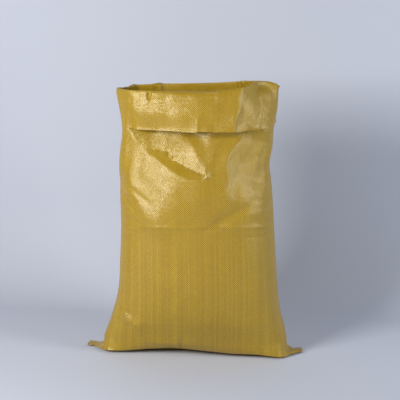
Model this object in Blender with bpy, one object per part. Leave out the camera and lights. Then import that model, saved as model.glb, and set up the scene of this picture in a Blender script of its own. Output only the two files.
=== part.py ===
"""A woven polypropylene cement sack, filled, standing open with its mouth turned down into a cuff.

The sack is a flat tube of woven tape, sewn across at the bottom. Its tapes hardly stretch, so every level
section has the tube's girth, and the depth of a section follows from its width. Above the cement the cloth is
slack, so it falls into folds under the cuff. At the floor the corners of the flat tube stick out as two
triangular ears. Z is up, the front faces -Y, and the origin is on the floor under the middle of the bottom
seam. Units are metres.
"""

import math

import bmesh
import bpy
import numpy as np
from mathutils import Vector
from mathutils.geometry import delaunay_2d_cdt

# The empty sack, laid flat
FLAT_WIDTH = 0.55
GIRTH = 2 * FLAT_WIDTH
WALL = 0.0008  # tape cloth with its lining film and the air between them

# The standing sack
BASE_HALF_DEPTH = 0.052
SHOULDER_HEIGHT = 0.040  # below it, the sides curve in to the floor and the ears
NECK_HEIGHT = 0.560  # above it, the rim's rise and fall begins
RIM_HEIGHT = 0.690
RIM_RISE_RIGHT = 0.011
RIM_DROP_LEFT = 0.006
RIM_TILT = 0.0035  # the rim is this much higher in front and lower at the back
CUFF_EDGE_HEIGHT = 0.595
CUFF_GAP = 0.0024  # between the cuff and the wall that it hangs down over

# Outline of the wall at each height: height, reach to the left, reach to the right, squareness, and the share
# of the girth that creases and folds take up
SECTIONS = (
    (0.040, 0.234, 0.235, 3.3, 0.010),
    (0.070, 0.223, 0.227, 3.1, 0.012),
    (0.104, 0.212, 0.219, 2.9, 0.014),
    (0.170, 0.196, 0.210, 2.7, 0.018),
    (0.250, 0.191, 0.204, 2.6, 0.022),
    (0.350, 0.188, 0.198, 2.5, 0.036),
    (0.410, 0.189, 0.194, 2.5, 0.044),
    (0.450, 0.189, 0.191, 2.5, 0.058),
    (0.495, 0.191, 0.185, 2.6, 0.078),
    (0.540, 0.188, 0.192, 2.8, 0.092),
    (0.585, 0.178, 0.193, 3.2, 0.090),
    (0.610, 0.179, 0.197, 3.4, 0.080),
    (0.640, 0.184, 0.201, 3.6, 0.066),
    (0.670, 0.190, 0.203, 3.8, 0.056),
    (0.700, 0.190, 0.203, 4.0, 0.050),
)
LOW_HEIGHTS = (0.055, 0.08, 0.11, 0.15, 0.2, 0.25, 0.3, 0.35, 0.39, 0.42, 0.44)
FOLDED_HEIGHTS = (0.475, 0.49, 0.505, 0.52, 0.535, 0.55, 0.565, 0.58)

# Places round the girth, counted from the right fold over the back and the left fold to the front
BACK_MIDDLE = 0.275
LEFT_FOLD = 0.55
FRONT_MIDDLE = 0.825

# The rim's plan: girth place, then where it stands to the right and to the back, and how far it rises above
# the smooth rim. The right end is pinched flat, and the back has two kinks near the left end.
MOUTH_PLAN = (
    (BACK_MIDDLE - 0.236, 0.176, 0.026, 0.003),
    (BACK_MIDDLE - 0.196, 0.150, 0.052, 0.002),
    (BACK_MIDDLE - 0.152, 0.118, 0.074, 0.001),
    (BACK_MIDDLE - 0.100, 0.092, 0.080, 0.001),
    (BACK_MIDDLE - 0.040, 0.036, 0.084, 0.0),
    (BACK_MIDDLE + 0.060, -0.054, 0.084, -0.001),
    (BACK_MIDDLE + 0.117, -0.104, 0.079, 0.003),
    (BACK_MIDDLE + 0.172, -0.152, 0.058, 0.0),
    (BACK_MIDDLE + 0.200, -0.169, 0.036, -0.003),
    (BACK_MIDDLE + 0.238, -0.184, 0.010, -0.003),
    (LEFT_FOLD, -0.191, -0.012, 0.0),
    (FRONT_MIDDLE - 0.240, -0.183, -0.028, 0.0),
    (FRONT_MIDDLE - 0.205, -0.168, -0.050, 0.0),
    (FRONT_MIDDLE - 0.178, -0.154, -0.068, 0.0),
    (FRONT_MIDDLE - 0.120, -0.104, -0.080, 0.0),
    (FRONT_MIDDLE - 0.060, -0.050, -0.088, 0.0),
    (FRONT_MIDDLE, 0.007, -0.086, 0.0),
    (FRONT_MIDDLE + 0.080, 0.084, -0.082, 0.0),
    (FRONT_MIDDLE + 0.122, 0.124, -0.078, 0.0),
    (FRONT_MIDDLE + 0.150, 0.140, -0.052, 0.003),
    (FRONT_MIDDLE + 0.186, 0.152, -0.018, 0.006),
    (FRONT_MIDDLE + 0.222, 0.172, -0.004, 0.004),
    (FRONT_MIDDLE + 0.262, 0.200, 0.002, -0.002),
    (FRONT_MIDDLE + 0.275, 0.203, 0.006, -0.004),
)
MOUTH_BASE = 0.585  # the wall begins to follow the rim's plan here
MOUTH_EASE = 1.4

# The folds under the cuff: offset to the right of the front's middle, height, and how far out the wall
# stands. Flat facets join the points.
SMOOTH_EDGE = (
    (-0.215, 0.600), (-0.210, 0.540), (-0.200, 0.460), (-0.165, 0.383), (-0.094, 0.318), (-0.040, 0.340),
    (0.040, 0.405), (0.080, 0.445), (0.150, 0.450), (0.218, 0.465), (0.245, 0.530), (0.240, 0.600),
    (0.205, 0.655), (0.055, 0.660), (-0.060, 0.660), (-0.180, 0.650),
)
LEANING_SHEET = (
    (-0.165, 0.535, -0.019), (-0.158, 0.475, -0.013), (-0.134, 0.421, -0.009), (-0.110, 0.389, -0.004),
    (-0.100, 0.436, -0.012), (-0.063, 0.500, -0.014), (-0.093, 0.518, -0.018), (-0.130, 0.539, -0.022),
    (-0.046, 0.443, -0.006), (-0.010, 0.451, 0.001),
)
LONG_VALLEY = (
    (-0.165, 0.557, -0.026), (-0.134, 0.547, -0.027), (-0.100, 0.532, -0.025), (-0.068, 0.519, -0.020),
    (-0.037, 0.504, -0.016), (-0.004, 0.487, -0.008), (0.027, 0.470, 0.002),
)
RIDGE_AND_POINT = (
    (-0.130, 0.560, -0.020), (-0.060, 0.533, -0.003), (-0.030, 0.516, 0.0), (0.020, 0.492, 0.006),
    (0.048, 0.478, 0.008), (-0.008, 0.562, 0.004), (0.032, 0.530, 0.012), (0.047, 0.507, 0.011),
)
UNDER_CUFF = (
    (-0.160, 0.590, -0.026), (-0.112, 0.597, -0.022), (-0.056, 0.594, -0.009), (0.0, 0.596, -0.002),
    (0.030, 0.588, -0.003), (0.072, 0.588, -0.006), (0.111, 0.586, -0.006), (-0.085, 0.563, -0.013),
)
HOLLOW_AND_PANEL = (
    (0.070, 0.562, 0.003), (0.072, 0.520, 0.008), (0.070, 0.491, 0.002), (0.142, 0.590, -0.003),
    (0.112, 0.552, 0.008), (0.095, 0.512, 0.009), (0.120, 0.486, -0.005), (0.168, 0.484, -0.010),
    (0.160, 0.570, -0.006), (0.126, 0.518, 0.0), (0.185, 0.533, -0.005), (0.192, 0.594, -0.005),
)
CUFF_HEIGHTS = (0.605, 0.625, 0.645, 0.665)
FOLD_BELOW_RIM = 0.008  # where the straight cuff ends and the rounded top fold begins
FOLD_STEPS = 4

# The bottom: it rests on a flat patch, and its edge and the two ears curl up off the floor
REST_REACH = 0.195
REST_FRONT = 0.034
REST_BACK = 0.047
EDGE_LIFT = 0.0015
FRONT_LIFT = 0.0040  # more than the rest of the edge, in the middle of the front
FRONT_SET_BACK = 0.005
FRONT_LIFT_HALF_WIDTH = 0.19
EAR_TIP_LIFT = 0.0060
EDGE_ROUNDING = 0.002  # the edge is set back this much more at its underside
FOOT_OVERHANG = 0.002  # the foot starts this far outside the edge
FOOT_LIFT = 0.0045
EAR_ROOT_LIFT = 0.001
FOOT_RINGS = ((0.45, 0.016), (0.8, 0.027))  # share of the way from the foot to the shoulder, and height
EAR_THICKNESS = 0.0018
BOTTOM_THICKNESS = 0.0026  # the sewn hem, folded over under the sack
SEAM_GROOVE_HALF_WIDTH = 0.0016
SEAM_GROOVE_DEPTH = 0.0014

# The thread that sews the bottom
THREAD_RADIUS = 0.0004
THREAD_HEIGHT = 0.0006
THREAD_STEP = 0.008
THREAD_SWAY = 0.0006
THREAD_END = 0.002  # from the end of the groove

# The cement
FILL_LEVEL = 0.460
FILL_MOUND = 0.016
FILL_LEAN = 0.4  # how much the mound is higher on the right
FILL_GAP = 0.0008
FILL_MARGIN = 0.010  # the cement follows the wall's rings up to this far below its level
BRIM_GAP = 0.0004  # the surface stops this much shorter of the wall
MOUND_RINGS = (0.82, 0.6, 0.36)  # share of the way from the middle to the wall

COLUMNS = 72  # round the girth, from the right fold over the back to the left fold
GIRTH_SAMPLES = 720
DEPTH_RANGE = (0.02, 0.25)  # a section's half depth is found between these, by halving
HALVINGS = 24
FIRST_INNER_RING = 4  # the first ring above the ears
SHARP_ANGLE = math.radians(50)

SACK_COLOUR = (0.50, 0.33, 0.055, 1.0)
CEMENT_COLOUR = (0.28, 0.28, 0.27, 1.0)
THREAD_COLOUR = (0.80, 0.78, 0.70, 1.0)


def clear_scene():
    """Removes the objects that the file opened with."""
    for obj in list(bpy.data.objects):
        bpy.data.objects.remove(obj)


def principled(name, colour, roughness):
    """A Principled material of one colour."""
    material = bpy.data.materials.new(name)
    material.use_nodes = True
    shader = material.node_tree.nodes["Principled BSDF"]
    shader.inputs["Base Color"].default_value = colour
    shader.inputs["Roughness"].default_value = roughness
    shader.inputs["Metallic"].default_value = 0.0
    return material


def smoothstep(value):
    """0 below 0, 1 above 1, and a smooth ramp between them."""
    t = np.clip(value, 0.0, 1.0)
    return t * t * (3 - 2 * t)


def section_sizes(height):
    """The wall's reach left and right, its squareness and its slack, on a smooth curve through SECTIONS."""
    rows = np.array(SECTIONS)
    heights, sizes = rows[:, 0], rows[:, 1:]
    slopes = np.gradient(sizes, heights, axis=0)
    i = int(np.clip(np.searchsorted(heights, height) - 1, 0, len(rows) - 2))
    span = heights[i + 1] - heights[i]
    t = min(max((height - heights[i]) / span, 0.0), 1.0)
    return (
        (2 * t**3 - 3 * t**2 + 1) * sizes[i]
        + (t**3 - 2 * t**2 + t) * span * slopes[i]
        + (3 * t**2 - 2 * t**3) * sizes[i + 1]
        + (t**3 - t**2) * span * slopes[i + 1]
    )


def rounded_outline(left, right, half_depth, squareness):
    """A closed superellipse with its own reach on each side, as points from the right end over the back."""
    angle = np.linspace(0, 2 * math.pi, GIRTH_SAMPLES, endpoint=False)
    cosine, sine = np.cos(angle), np.sin(angle)
    reach = np.where(cosine > 0, right, left)
    x = reach * np.sign(cosine) * np.abs(cosine) ** (2 / squareness)
    y = half_depth * np.sign(sine) * np.abs(sine) ** (2 / squareness)
    return np.stack([x, y], axis=1)


def length_round(outline):
    """Distance along a closed outline at each point, and all the way round."""
    steps = np.linalg.norm(np.roll(outline, -1, axis=0) - outline, axis=1)
    return np.concatenate([[0.0], np.cumsum(steps)])


def columns_of(outline):
    """The outline at COLUMNS places, evenly spaced along it as the tapes of the cloth are."""
    along = length_round(outline)
    closed = np.vstack([outline, outline[:1]])
    places = np.arange(COLUMNS) * along[-1] / COLUMNS
    return np.stack([np.interp(places, along, closed[:, k]) for k in (0, 1)], axis=1)


def wall_outline(height):
    """The wall's outer outline at a height: its depth is what gives it the girth of the tube."""
    left, right, squareness, slack = section_sizes(height)
    girth = GIRTH * (1 - slack)
    low, high = DEPTH_RANGE
    for _ in range(HALVINGS):
        half_depth = (low + high) / 2
        if length_round(rounded_outline(left, right, half_depth, squareness))[-1] < girth:
            low = half_depth
        else:
            high = half_depth
    return columns_of(rounded_outline(left, right, half_depth, squareness))


def inset(outline, distance):
    """The outline's parallel, that far inside it, or outside it where the distance is below 0."""
    ahead = np.roll(outline, -1, axis=0) - outline
    ahead /= np.linalg.norm(ahead, axis=1)[:, None]
    inward = np.stack([-ahead[:, 1], ahead[:, 0]], axis=1)
    before = np.roll(inward, 1, axis=0)
    mitre = (inward + before) / (1 + (inward * before).sum(axis=1))[:, None]
    return outline + distance * mitre


def at_height(outline, height):
    """A ring of points in space: the outline at one height, or at a height for each column."""
    return np.column_stack([outline, np.broadcast_to(height, COLUMNS)])


def seam_places():
    """For each column, its place along the bottom seam, and which side of the seam it leaves on."""
    girth_places = np.arange(COLUMNS) * GIRTH / COLUMNS
    x = np.abs(girth_places - FLAT_WIDTH) - FLAT_WIDTH / 2
    side = np.where(girth_places <= FLAT_WIDTH, 1.0, -1.0)
    return x, side


def ear_columns():
    """Which columns run out into an ear, and how far towards its tip, from 0 at the root to 1."""
    from_tip = FLAT_WIDTH / 2 - np.abs(seam_places()[0])
    return from_tip < BASE_HALF_DEPTH, np.clip(1 - from_tip / BASE_HALF_DEPTH, 0, 1)


def rest_outline():
    """The rectangle that the sack rests on. The ears' columns are spread over its two short ends."""
    x, side = seam_places()
    on_ear, out = ear_columns()
    root = FLAT_WIDTH / 2 - BASE_HALF_DEPTH
    depth = np.where(side < 0, REST_FRONT, REST_BACK)
    along = np.where(on_ear, np.sign(x) * REST_REACH, x * REST_REACH / root)
    return np.column_stack([along, side * depth * (1 - out)])


def edge_outline(set_back):
    """The outline of the flat bottom with its two ears, set back a little in the middle of the front."""
    x, side = seam_places()
    from_tip = FLAT_WIDTH / 2 - np.abs(x)
    depth = BASE_HALF_DEPTH - set_back * np.where(side < 0, front_middle(), 0.0)
    return np.column_stack([x, side * np.minimum(from_tip, depth)])


def root_outline():
    """The outline just above the bottom's edge, with the ears left off at the line where they turn up."""
    x, side = seam_places()
    from_tip = FLAT_WIDTH / 2 - np.abs(x)
    root = FLAT_WIDTH / 2 - BASE_HALF_DEPTH
    depth = BASE_HALF_DEPTH + FOOT_OVERHANG
    return np.column_stack([np.clip(x, -root, root), side * np.minimum(from_tip, depth)])


def front_middle():
    """1 on the middle column of the front, falling to 0 at both ends of the stretch that lifts."""
    x, side = seam_places()
    return np.where(side < 0, np.clip(1 - (x / FRONT_LIFT_HALF_WIDTH) ** 2, 0, 1), 0.0)


def base_rings():
    """The outer rings from the floor to the shoulder: the flat patch, the edge with its ears, the foot."""
    on_ear, out = ear_columns()
    root, shoulder = root_outline(), wall_outline(SHOULDER_HEIGHT)
    lift = EDGE_LIFT + FRONT_LIFT * front_middle() + EAR_TIP_LIFT * out
    rings = [
        at_height(rest_outline(), 0.0),
        at_height(edge_outline(FRONT_SET_BACK + EDGE_ROUNDING), lift),
        at_height(edge_outline(FRONT_SET_BACK), lift + EAR_THICKNESS),
        at_height(root, np.where(on_ear, EDGE_LIFT + EAR_THICKNESS + EAR_ROOT_LIFT, lift + FOOT_LIFT)),
    ]
    for share, height in (*FOOT_RINGS, (1.0, SHOULDER_HEIGHT)):
        rings.append(at_height(root + (shoulder - root) * share, height))
    return rings


def rim_rise(outline):
    """How far the rim stands above its mean height: up at the right end and in front."""
    along, across = (outline / np.abs(outline).max(axis=0)).T
    return np.where(along > 0, RIM_RISE_RIGHT, -RIM_DROP_LEFT) * along**2 - RIM_TILT * across


def mouth_shift():
    """How far the rim's plan and rise move each column from the smooth rim."""
    plan = np.array(MOUTH_PLAN)
    plan = plan[np.argsort(plan[:, 0] % GIRTH)]
    girth_places = np.arange(COLUMNS) * GIRTH / COLUMNS
    wanted = [np.interp(girth_places, plan[:, 0] % GIRTH, plan[:, k], period=GIRTH) for k in (1, 2, 3)]
    smooth = at_height(wall_outline(RIM_HEIGHT), 0.0)
    return np.column_stack(wanted) - smooth


def wall_ring(height, shift):
    """The wall's smooth outer ring at a mean height. Near the rim it follows the rim's plan and rise."""
    outline = wall_outline(height)
    ramp = smoothstep((height - NECK_HEIGHT) / (RIM_HEIGHT - NECK_HEIGHT))
    ring = at_height(outline, height + ramp * rim_rise(outline))
    reach = np.clip((height - MOUTH_BASE) / (RIM_HEIGHT - MOUTH_BASE), 0, 1) ** MOUTH_EASE
    return ring + reach * shift


def smooth_rings():
    """The outer rings of the wall without its folds, from the floor to just below the rim, as one array."""
    shift = mouth_shift()
    wall = (*LOW_HEIGHTS, FILL_LEVEL, *FOLDED_HEIGHTS)
    heights = (*wall, CUFF_EDGE_HEIGHT, *CUFF_HEIGHTS, RIM_HEIGHT - FOLD_BELOW_RIM)
    return np.array([*base_rings(), *[wall_ring(height, shift) for height in heights]])


def fold_facets():
    """The facets of the front's folds, each as three corners: offset, height and how far out."""
    edge = [(*place, 0.0) for place in SMOOTH_EDGE]
    right = (*UNDER_CUFF, *HOLLOW_AND_PANEL)
    corners = np.array([*LEANING_SHEET, *LONG_VALLEY, *RIDGE_AND_POINT, *right, *edge])
    valley = range(len(LEANING_SHEET), len(LEANING_SHEET) + len(LONG_VALLEY))
    lines = list(zip(valley, valley[1:]))
    found = delaunay_2d_cdt([Vector(corner[:2]) for corner in corners], lines, [], 0, 1e-7)
    order = [origin[0] for origin in found[3]]
    return [corners[[order[v] for v in face]] for face in found[2]]


def fold_depth(facets, offset, height):
    """How far out the folds push the wall at each of these places. Behind the cuff they only push it in."""
    out = np.zeros(offset.shape)
    for (ax, az, ad), (bx, bz, bd), (cx, cz, cd) in facets:
        area = (bx - ax) * (cz - az) - (cx - ax) * (bz - az)
        first = ((bx - offset) * (cz - height) - (cx - offset) * (bz - height)) / area
        second = ((cx - offset) * (az - height) - (ax - offset) * (cz - height)) / area
        third = 1 - first - second
        inside = (first >= 0) & (second >= 0) & (third >= 0)
        out = np.where(inside, first * ad + second * bd + third * cd, out)
    return np.where(height > MOUTH_BASE, np.minimum(out, 0), out)


def outward(rings):
    """Unit vectors out of the wall at each point of its rings."""
    up = np.gradient(rings, axis=0)
    round_girth = np.roll(rings, -1, axis=1) - np.roll(rings, 1, axis=1)
    normal = np.cross(round_girth, up)
    return normal / np.linalg.norm(normal, axis=2)[:, :, None]


def outer_rings():
    """The outer rings of the wall with the folds of its front, from the floor to just below the rim."""
    rings = smooth_rings()
    offset = np.arange(COLUMNS) * GIRTH / COLUMNS - FRONT_MIDDLE
    depth = fold_depth(fold_facets(), np.broadcast_to(offset, rings.shape[:2]), rings[:, :, 2])
    return rings + outward(rings) * depth[:, :, None]


def inner_rings(rings, depth):
    """The wall's rings again, that deep under its outer face. The first lies on the folded hem."""
    gap = depth - WALL
    floor = at_height(rest_outline() * (1 - gap / REST_FRONT), BOTTOM_THICKNESS + gap)
    wall = rings[FIRST_INNER_RING:]
    return [floor, *(wall - outward(wall) * depth)]


def parallel(ring, distance, up=0.0):
    """A ring's parallel, moved in by a distance and up by another."""
    return at_height(inset(ring[:, :2], distance), ring[:, 2] + up)


def fold_rings(ring, middle, radius, turn):
    """Rings round the top fold: half a turn about a line that lies `middle` outside the wall's outer face.

    turn is 1 from the wall out to the cuff, and -1 from the cuff in to the wall.
    """
    angles = np.linspace(0, math.pi, FOLD_STEPS + 1)
    turned = [(turn * radius * math.cos(angle), radius * math.sin(angle)) for angle in angles]
    return [parallel(ring, across - middle, up) for across, up in turned]


def sack_rings():
    """All the rings of the sack's surface: up the outside, round the cuff, and down the inside."""
    outside = outer_rings()
    edge = -2 - len(CUFF_HEIGHTS)
    under_cuff_line, top = smooth_rings()[edge:-1], outside[-1]
    middle = CUFF_GAP / 2
    under_cuff = fold_rings(top, middle, CUFF_GAP / 2, 1)
    over_cuff = fold_rings(top, middle, CUFF_GAP / 2 + WALL, -1)
    return [
        *outside[:-1],
        *under_cuff,
        *[parallel(ring, -CUFF_GAP) for ring in reversed(under_cuff_line)],
        *[parallel(ring, -CUFF_GAP - WALL) for ring in under_cuff_line],
        *over_cuff,
        *reversed(inner_rings(outside, WALL)[:-1]),
    ]


def bridge(mesh, rings):
    """Adds each ring's vertices and the triangles between each ring and the next.

    The triangles split the same way in space whether the rings go up or down, so that the two faces of the
    cloth stay parallel. Returns the vertices by ring.
    """
    made = [[mesh.verts.new(point) for point in ring] for ring in rings]
    for first, second in zip(made, made[1:]):
        rises = sum(v.co.z for v in second) >= sum(v.co.z for v in first)
        for i in range(COLUMNS):
            j = (i + 1) % COLUMNS
            if rises:
                mesh.faces.new((first[i], first[j], second[j]))
                mesh.faces.new((first[i], second[j], second[i]))
            else:
                mesh.faces.new((first[i], first[j], second[i]))
                mesh.faces.new((first[j], second[j], second[i]))
    return made


def close_underside(mesh, outline):
    """Fills the patch that rests on the floor, with the groove in which the seam's thread lies."""
    half = COLUMNS // 2
    first = int(ear_columns()[0][:half].argmin())
    corners = (
        (-SEAM_GROOVE_HALF_WIDTH, 0.0),
        (-SEAM_GROOVE_HALF_WIDTH, SEAM_GROOVE_DEPTH),
        (SEAM_GROOVE_HALF_WIDTH, SEAM_GROOVE_DEPTH),
        (SEAM_GROOVE_HALF_WIDTH, 0.0),
    )
    rows = []
    for i in range(first, half - first + 1):
        back, front = outline[i], outline[COLUMNS - i]
        groove = [mesh.verts.new((back.co.x, y, z)) for y, z in corners]
        rows.append([front, *groove, back])
    for here, after in zip(rows, rows[1:]):
        for k in range(len(here) - 1):
            mesh.faces.new((here[k], after[k], after[k + 1], here[k + 1]))
    right_end = [outline[k % COLUMNS] for k in range(COLUMNS - first, COLUMNS + first + 1)]
    left_end = [outline[k] for k in range(half + first, half - first - 1, -1)]
    for row, end in ((rows[0], right_end), (rows[-1], left_end)):
        mesh.faces.new([*end, row[4], row[1]])
        mesh.faces.new(row[1:5])


def finish_mesh(mesh, name, material):
    """Turns a bmesh into a shaded object of that name."""
    bmesh.ops.recalc_face_normals(mesh, faces=mesh.faces)
    data = bpy.data.meshes.new(name)
    mesh.to_mesh(data)
    mesh.free()
    data.materials.append(material)
    data.shade_smooth()
    data.set_sharp_from_angle(angle=SHARP_ANGLE)
    obj = bpy.data.objects.new(name, data)
    bpy.context.scene.collection.objects.link(obj)
    return obj


def build_sack():
    """The whole cloth tube: sewn bottom with its ears, wall, and the cuff turned down at the mouth."""
    mesh = bmesh.new()
    rings = bridge(mesh, sack_rings())
    close_underside(mesh, rings[0])
    mesh.faces.new(rings[-1])
    return finish_mesh(mesh, "woven_sack", principled("woven_tape", SACK_COLOUR, 0.42))


def fill_height(share, outline):
    """Height of the cement's surface, level along the wall and mounded in the middle."""
    lean = 1 + FILL_LEAN * share * outline[:, 0] / np.abs(outline[:, 0]).max()
    return FILL_LEVEL + FILL_MOUND * (1 - share**2) * lean


def build_cement():
    """The loose cement: it fills the sack to its level and is mounded on top."""
    inside = inner_rings(outer_rings(), WALL + FILL_GAP)
    wall = [ring for ring in inside if ring[:, 2].mean() < FILL_LEVEL - FILL_MARGIN]
    brim = inset(inside[len(wall)][:, :2], BRIM_GAP)
    mound = [at_height(brim * share, fill_height(share, brim)) for share in (1.0, *MOUND_RINGS)]
    mesh = bmesh.new()
    rings = bridge(mesh, wall + mound)
    mesh.faces.new(rings[0])
    peak = mesh.verts.new((0.0, 0.0, FILL_LEVEL + FILL_MOUND))
    for i in range(COLUMNS):
        mesh.faces.new((rings[-1][i], rings[-1][(i + 1) % COLUMNS], peak))
    return finish_mesh(mesh, "cement_fill", principled("cement", CEMENT_COLOUR, 0.95))


def build_thread():
    """The sewing thread, swaying from stitch to stitch along the groove of the bottom seam."""
    flat_columns = rest_outline()[~ear_columns()[0]]
    reach = flat_columns[:, 0].max() - THREAD_END
    count = 2 * int(reach / THREAD_STEP)
    curve = bpy.data.curves.new("seam_thread", "CURVE")
    curve.dimensions = "3D"
    spline = curve.splines.new("POLY")
    spline.points.add(count)
    for i in range(count + 1):
        place = -reach + 2 * reach * i / count
        spline.points[i].co = (place, THREAD_SWAY * (-1) ** i, THREAD_HEIGHT, 1.0)
    curve.bevel_depth = THREAD_RADIUS
    curve.bevel_resolution = 1
    curve.use_fill_caps = True
    curve.materials.append(principled("thread", THREAD_COLOUR, 0.7))
    obj = bpy.data.objects.new("seam_thread", curve)
    bpy.context.scene.collection.objects.link(obj)
    return obj


def main():
    """Builds the sack, its cement and the thread of its seam."""
    clear_scene()
    build_sack()
    build_cement()
    build_thread()


main()
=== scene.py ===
"""A filled cement sack of yellow woven tape, standing open with its mouth turned down into a cuff.

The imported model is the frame: this script replaces its plain solids with the cloth, its seam and the
cement, and adds a plain studio. The cloth is laid out as the flat tube that it was woven as. Each of its
points has a place round the girth and a place along the length, so the weave runs as the tapes do, and the
creases are given where they lie on the cloth. Metres throughout, Z up, the front faces -Y.
"""

import logging
import math
from collections.abc import Callable, Sequence
from dataclasses import dataclass, field
from enum import Enum

import bpy
import numpy as np
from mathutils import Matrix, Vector, noise
from mathutils.geometry import delaunay_2d_cdt


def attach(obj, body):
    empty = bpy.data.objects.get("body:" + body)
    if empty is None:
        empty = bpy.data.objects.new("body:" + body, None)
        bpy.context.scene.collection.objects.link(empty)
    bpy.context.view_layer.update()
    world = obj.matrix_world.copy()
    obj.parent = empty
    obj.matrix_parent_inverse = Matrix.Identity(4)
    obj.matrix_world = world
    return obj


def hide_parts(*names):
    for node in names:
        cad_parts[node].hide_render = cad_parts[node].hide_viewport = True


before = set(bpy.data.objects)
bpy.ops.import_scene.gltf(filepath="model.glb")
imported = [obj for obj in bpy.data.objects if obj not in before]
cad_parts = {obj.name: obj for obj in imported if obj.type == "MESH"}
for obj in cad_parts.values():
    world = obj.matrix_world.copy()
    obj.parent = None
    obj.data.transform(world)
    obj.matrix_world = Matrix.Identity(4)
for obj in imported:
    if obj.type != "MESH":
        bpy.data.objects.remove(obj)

LOG = logging.getLogger("sack")
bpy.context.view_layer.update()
PHOTO_SIDE = 400  # pixels across the photograph, and down it
FLOOR = 0.0004  # the paper lies this much under the frame's floor, and the cloth this much over it
MM = 1000  # millimetres in a metre
FAR = 9.0  # metres, more than any distance on the sack

Colour = tuple[float, float, float]
Point = tuple[float, float, float]
Path = tuple[tuple[float, float], ...]


def math_method(operation: str, turned: bool = False) -> Callable[..., "Signal"]:
    """A method of Signal that adds one Math node.

    Args:
        operation: The node's operation.
        turned: Whether it takes its values in reverse order.

    Returns:
        The method.
    """

    def method(self: "Signal", *others: "Signal | float") -> "Signal":
        """The result of the operation."""
        values = (self, *others)[:: -1 if turned else 1]
        return self.bench.node("ShaderNodeMath", {"operation": operation}, dict(enumerate(values)))

    return method


class Signal:
    """A shader socket that can be used in sums. Each operator adds one Math node."""

    __add__ = __radd__ = math_method("ADD")
    __sub__ = math_method("SUBTRACT")
    __rsub__ = math_method("SUBTRACT", turned=True)
    __mul__ = __rmul__ = math_method("MULTIPLY")
    __truediv__ = math_method("DIVIDE")
    __rtruediv__ = math_method("DIVIDE", turned=True)
    __pow__ = math_method("POWER")
    __rpow__ = math_method("POWER", turned=True)
    __mod__ = math_method("FLOORED_MODULO")
    __rmod__ = math_method("FLOORED_MODULO", turned=True)
    __abs__ = math_method("ABSOLUTE")
    floor = math_method("FLOOR")
    sine = math_method("SINE")
    at_most = math_method("MINIMUM")
    at_least = math_method("MAXIMUM")

    def __init__(self, bench: "Bench", socket: bpy.types.NodeSocket | None) -> None:
        """Wraps an output socket of a node on that bench."""
        self.bench = bench
        self.socket = socket

    def output(self, number: int) -> "Signal":
        """Another output of the same node."""
        return Signal(self.bench, self.socket.node.outputs[number])

    def pick(self, if_zero: "Signal | float", if_one: "Signal | float") -> "Signal":
        """if_zero where self is 0, if_one where it is 1, and a blend between."""
        return self * if_one + (1 - self) * if_zero


class Bench:
    """The node tree of one material, and the one way in which this script adds a node to it."""

    def __init__(self, name: str) -> None:
        """Makes an empty material of that name."""
        self.material = bpy.data.materials.new(name)
        self.material.use_nodes = True
        self.tree = self.material.node_tree
        self.tree.nodes.clear()

    def node(
        self,
        kind: str,
        settings: dict[str, object] | None = None,
        inputs: dict[str | int, object] | None = None,
        output: str | int = 0,
    ) -> Signal:
        """Adds a node.

        Args:
            kind: The node's type, such as ShaderNodeTexNoise.
            settings: Its properties, set before its sockets. "stops" gives a colour ramp's stops.
            inputs: A value or a Signal for each socket that isn't left at its default.
            output: Which of its outputs to return.

        Returns:
            The chosen output.
        """
        made = self.tree.nodes.new(kind)
        for key, value in (settings or {}).items():
            if key == "stops":
                self._set_stops(made.color_ramp, value)
            else:
                setattr(made, key, value)
        for key, value in (inputs or {}).items():
            if isinstance(value, Signal):
                self.tree.links.new(value.socket, made.inputs[key])
            else:
                made.inputs[key].default_value = value
        return Signal(self, made.outputs[output] if made.outputs else None)

    @staticmethod
    def _set_stops(ramp: bpy.types.ColorRamp, stops: Sequence[tuple[float, Colour]]) -> None:
        """Gives a colour ramp its stops, in place of the two that it starts with.

        Args:
            ramp: The colour ramp.
            stops: The place and the colour of each stop.
        """
        while len(ramp.elements) > 1:
            ramp.elements.remove(ramp.elements[-1])
        for i, (place, colour) in enumerate(stops):
            stop = ramp.elements[0] if i == 0 else ramp.elements.new(place)
            stop.position = place
            stop.color = (*colour, 1.0)

    def ramp(self, stops: Sequence[tuple[float, Colour]], value: Signal) -> Signal:
        """A colour from a ramp."""
        return self.node("ShaderNodeValToRGB", {"stops": stops}, {0: value})

    def noise(self, place: Signal, scale: float, detail: float) -> Signal:
        """A cloudy pattern, from 0 to 1."""
        return self.node("ShaderNodeTexNoise", inputs={"Vector": place, "Scale": scale, "Detail": detail})

    def bump(self, height: Signal, distance: float, strength: float = 1.0) -> Signal:
        """Relief that stands as high as `distance`."""
        sockets = {"Strength": strength, "Distance": distance, "Height": height}
        return self.node("ShaderNodeBump", inputs=sockets)

    def blend(self, share: Signal | float, *colours: Signal | Colour) -> Signal:
        """A mix of two colours, with that share of the second."""
        first, second = (value if isinstance(value, Signal) else (*value, 1.0) for value in colours)
        return self.node("ShaderNodeMix", {"data_type": "RGBA"}, {0: share, 6: first, 7: second}, output=2)

    def finish(self, **sockets: object) -> bpy.types.Material:
        """Adds the Principled shader.

        Args:
            sockets: Its sockets, with underscores for the spaces in their names.

        Returns:
            The finished material.
        """
        named = {key.replace("_", " "): value for key, value in sockets.items()}
        shader = self.node("ShaderNodeBsdfPrincipled", inputs=named)
        self.node("ShaderNodeOutputMaterial", inputs={"Surface": shader})
        return self.material


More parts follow.
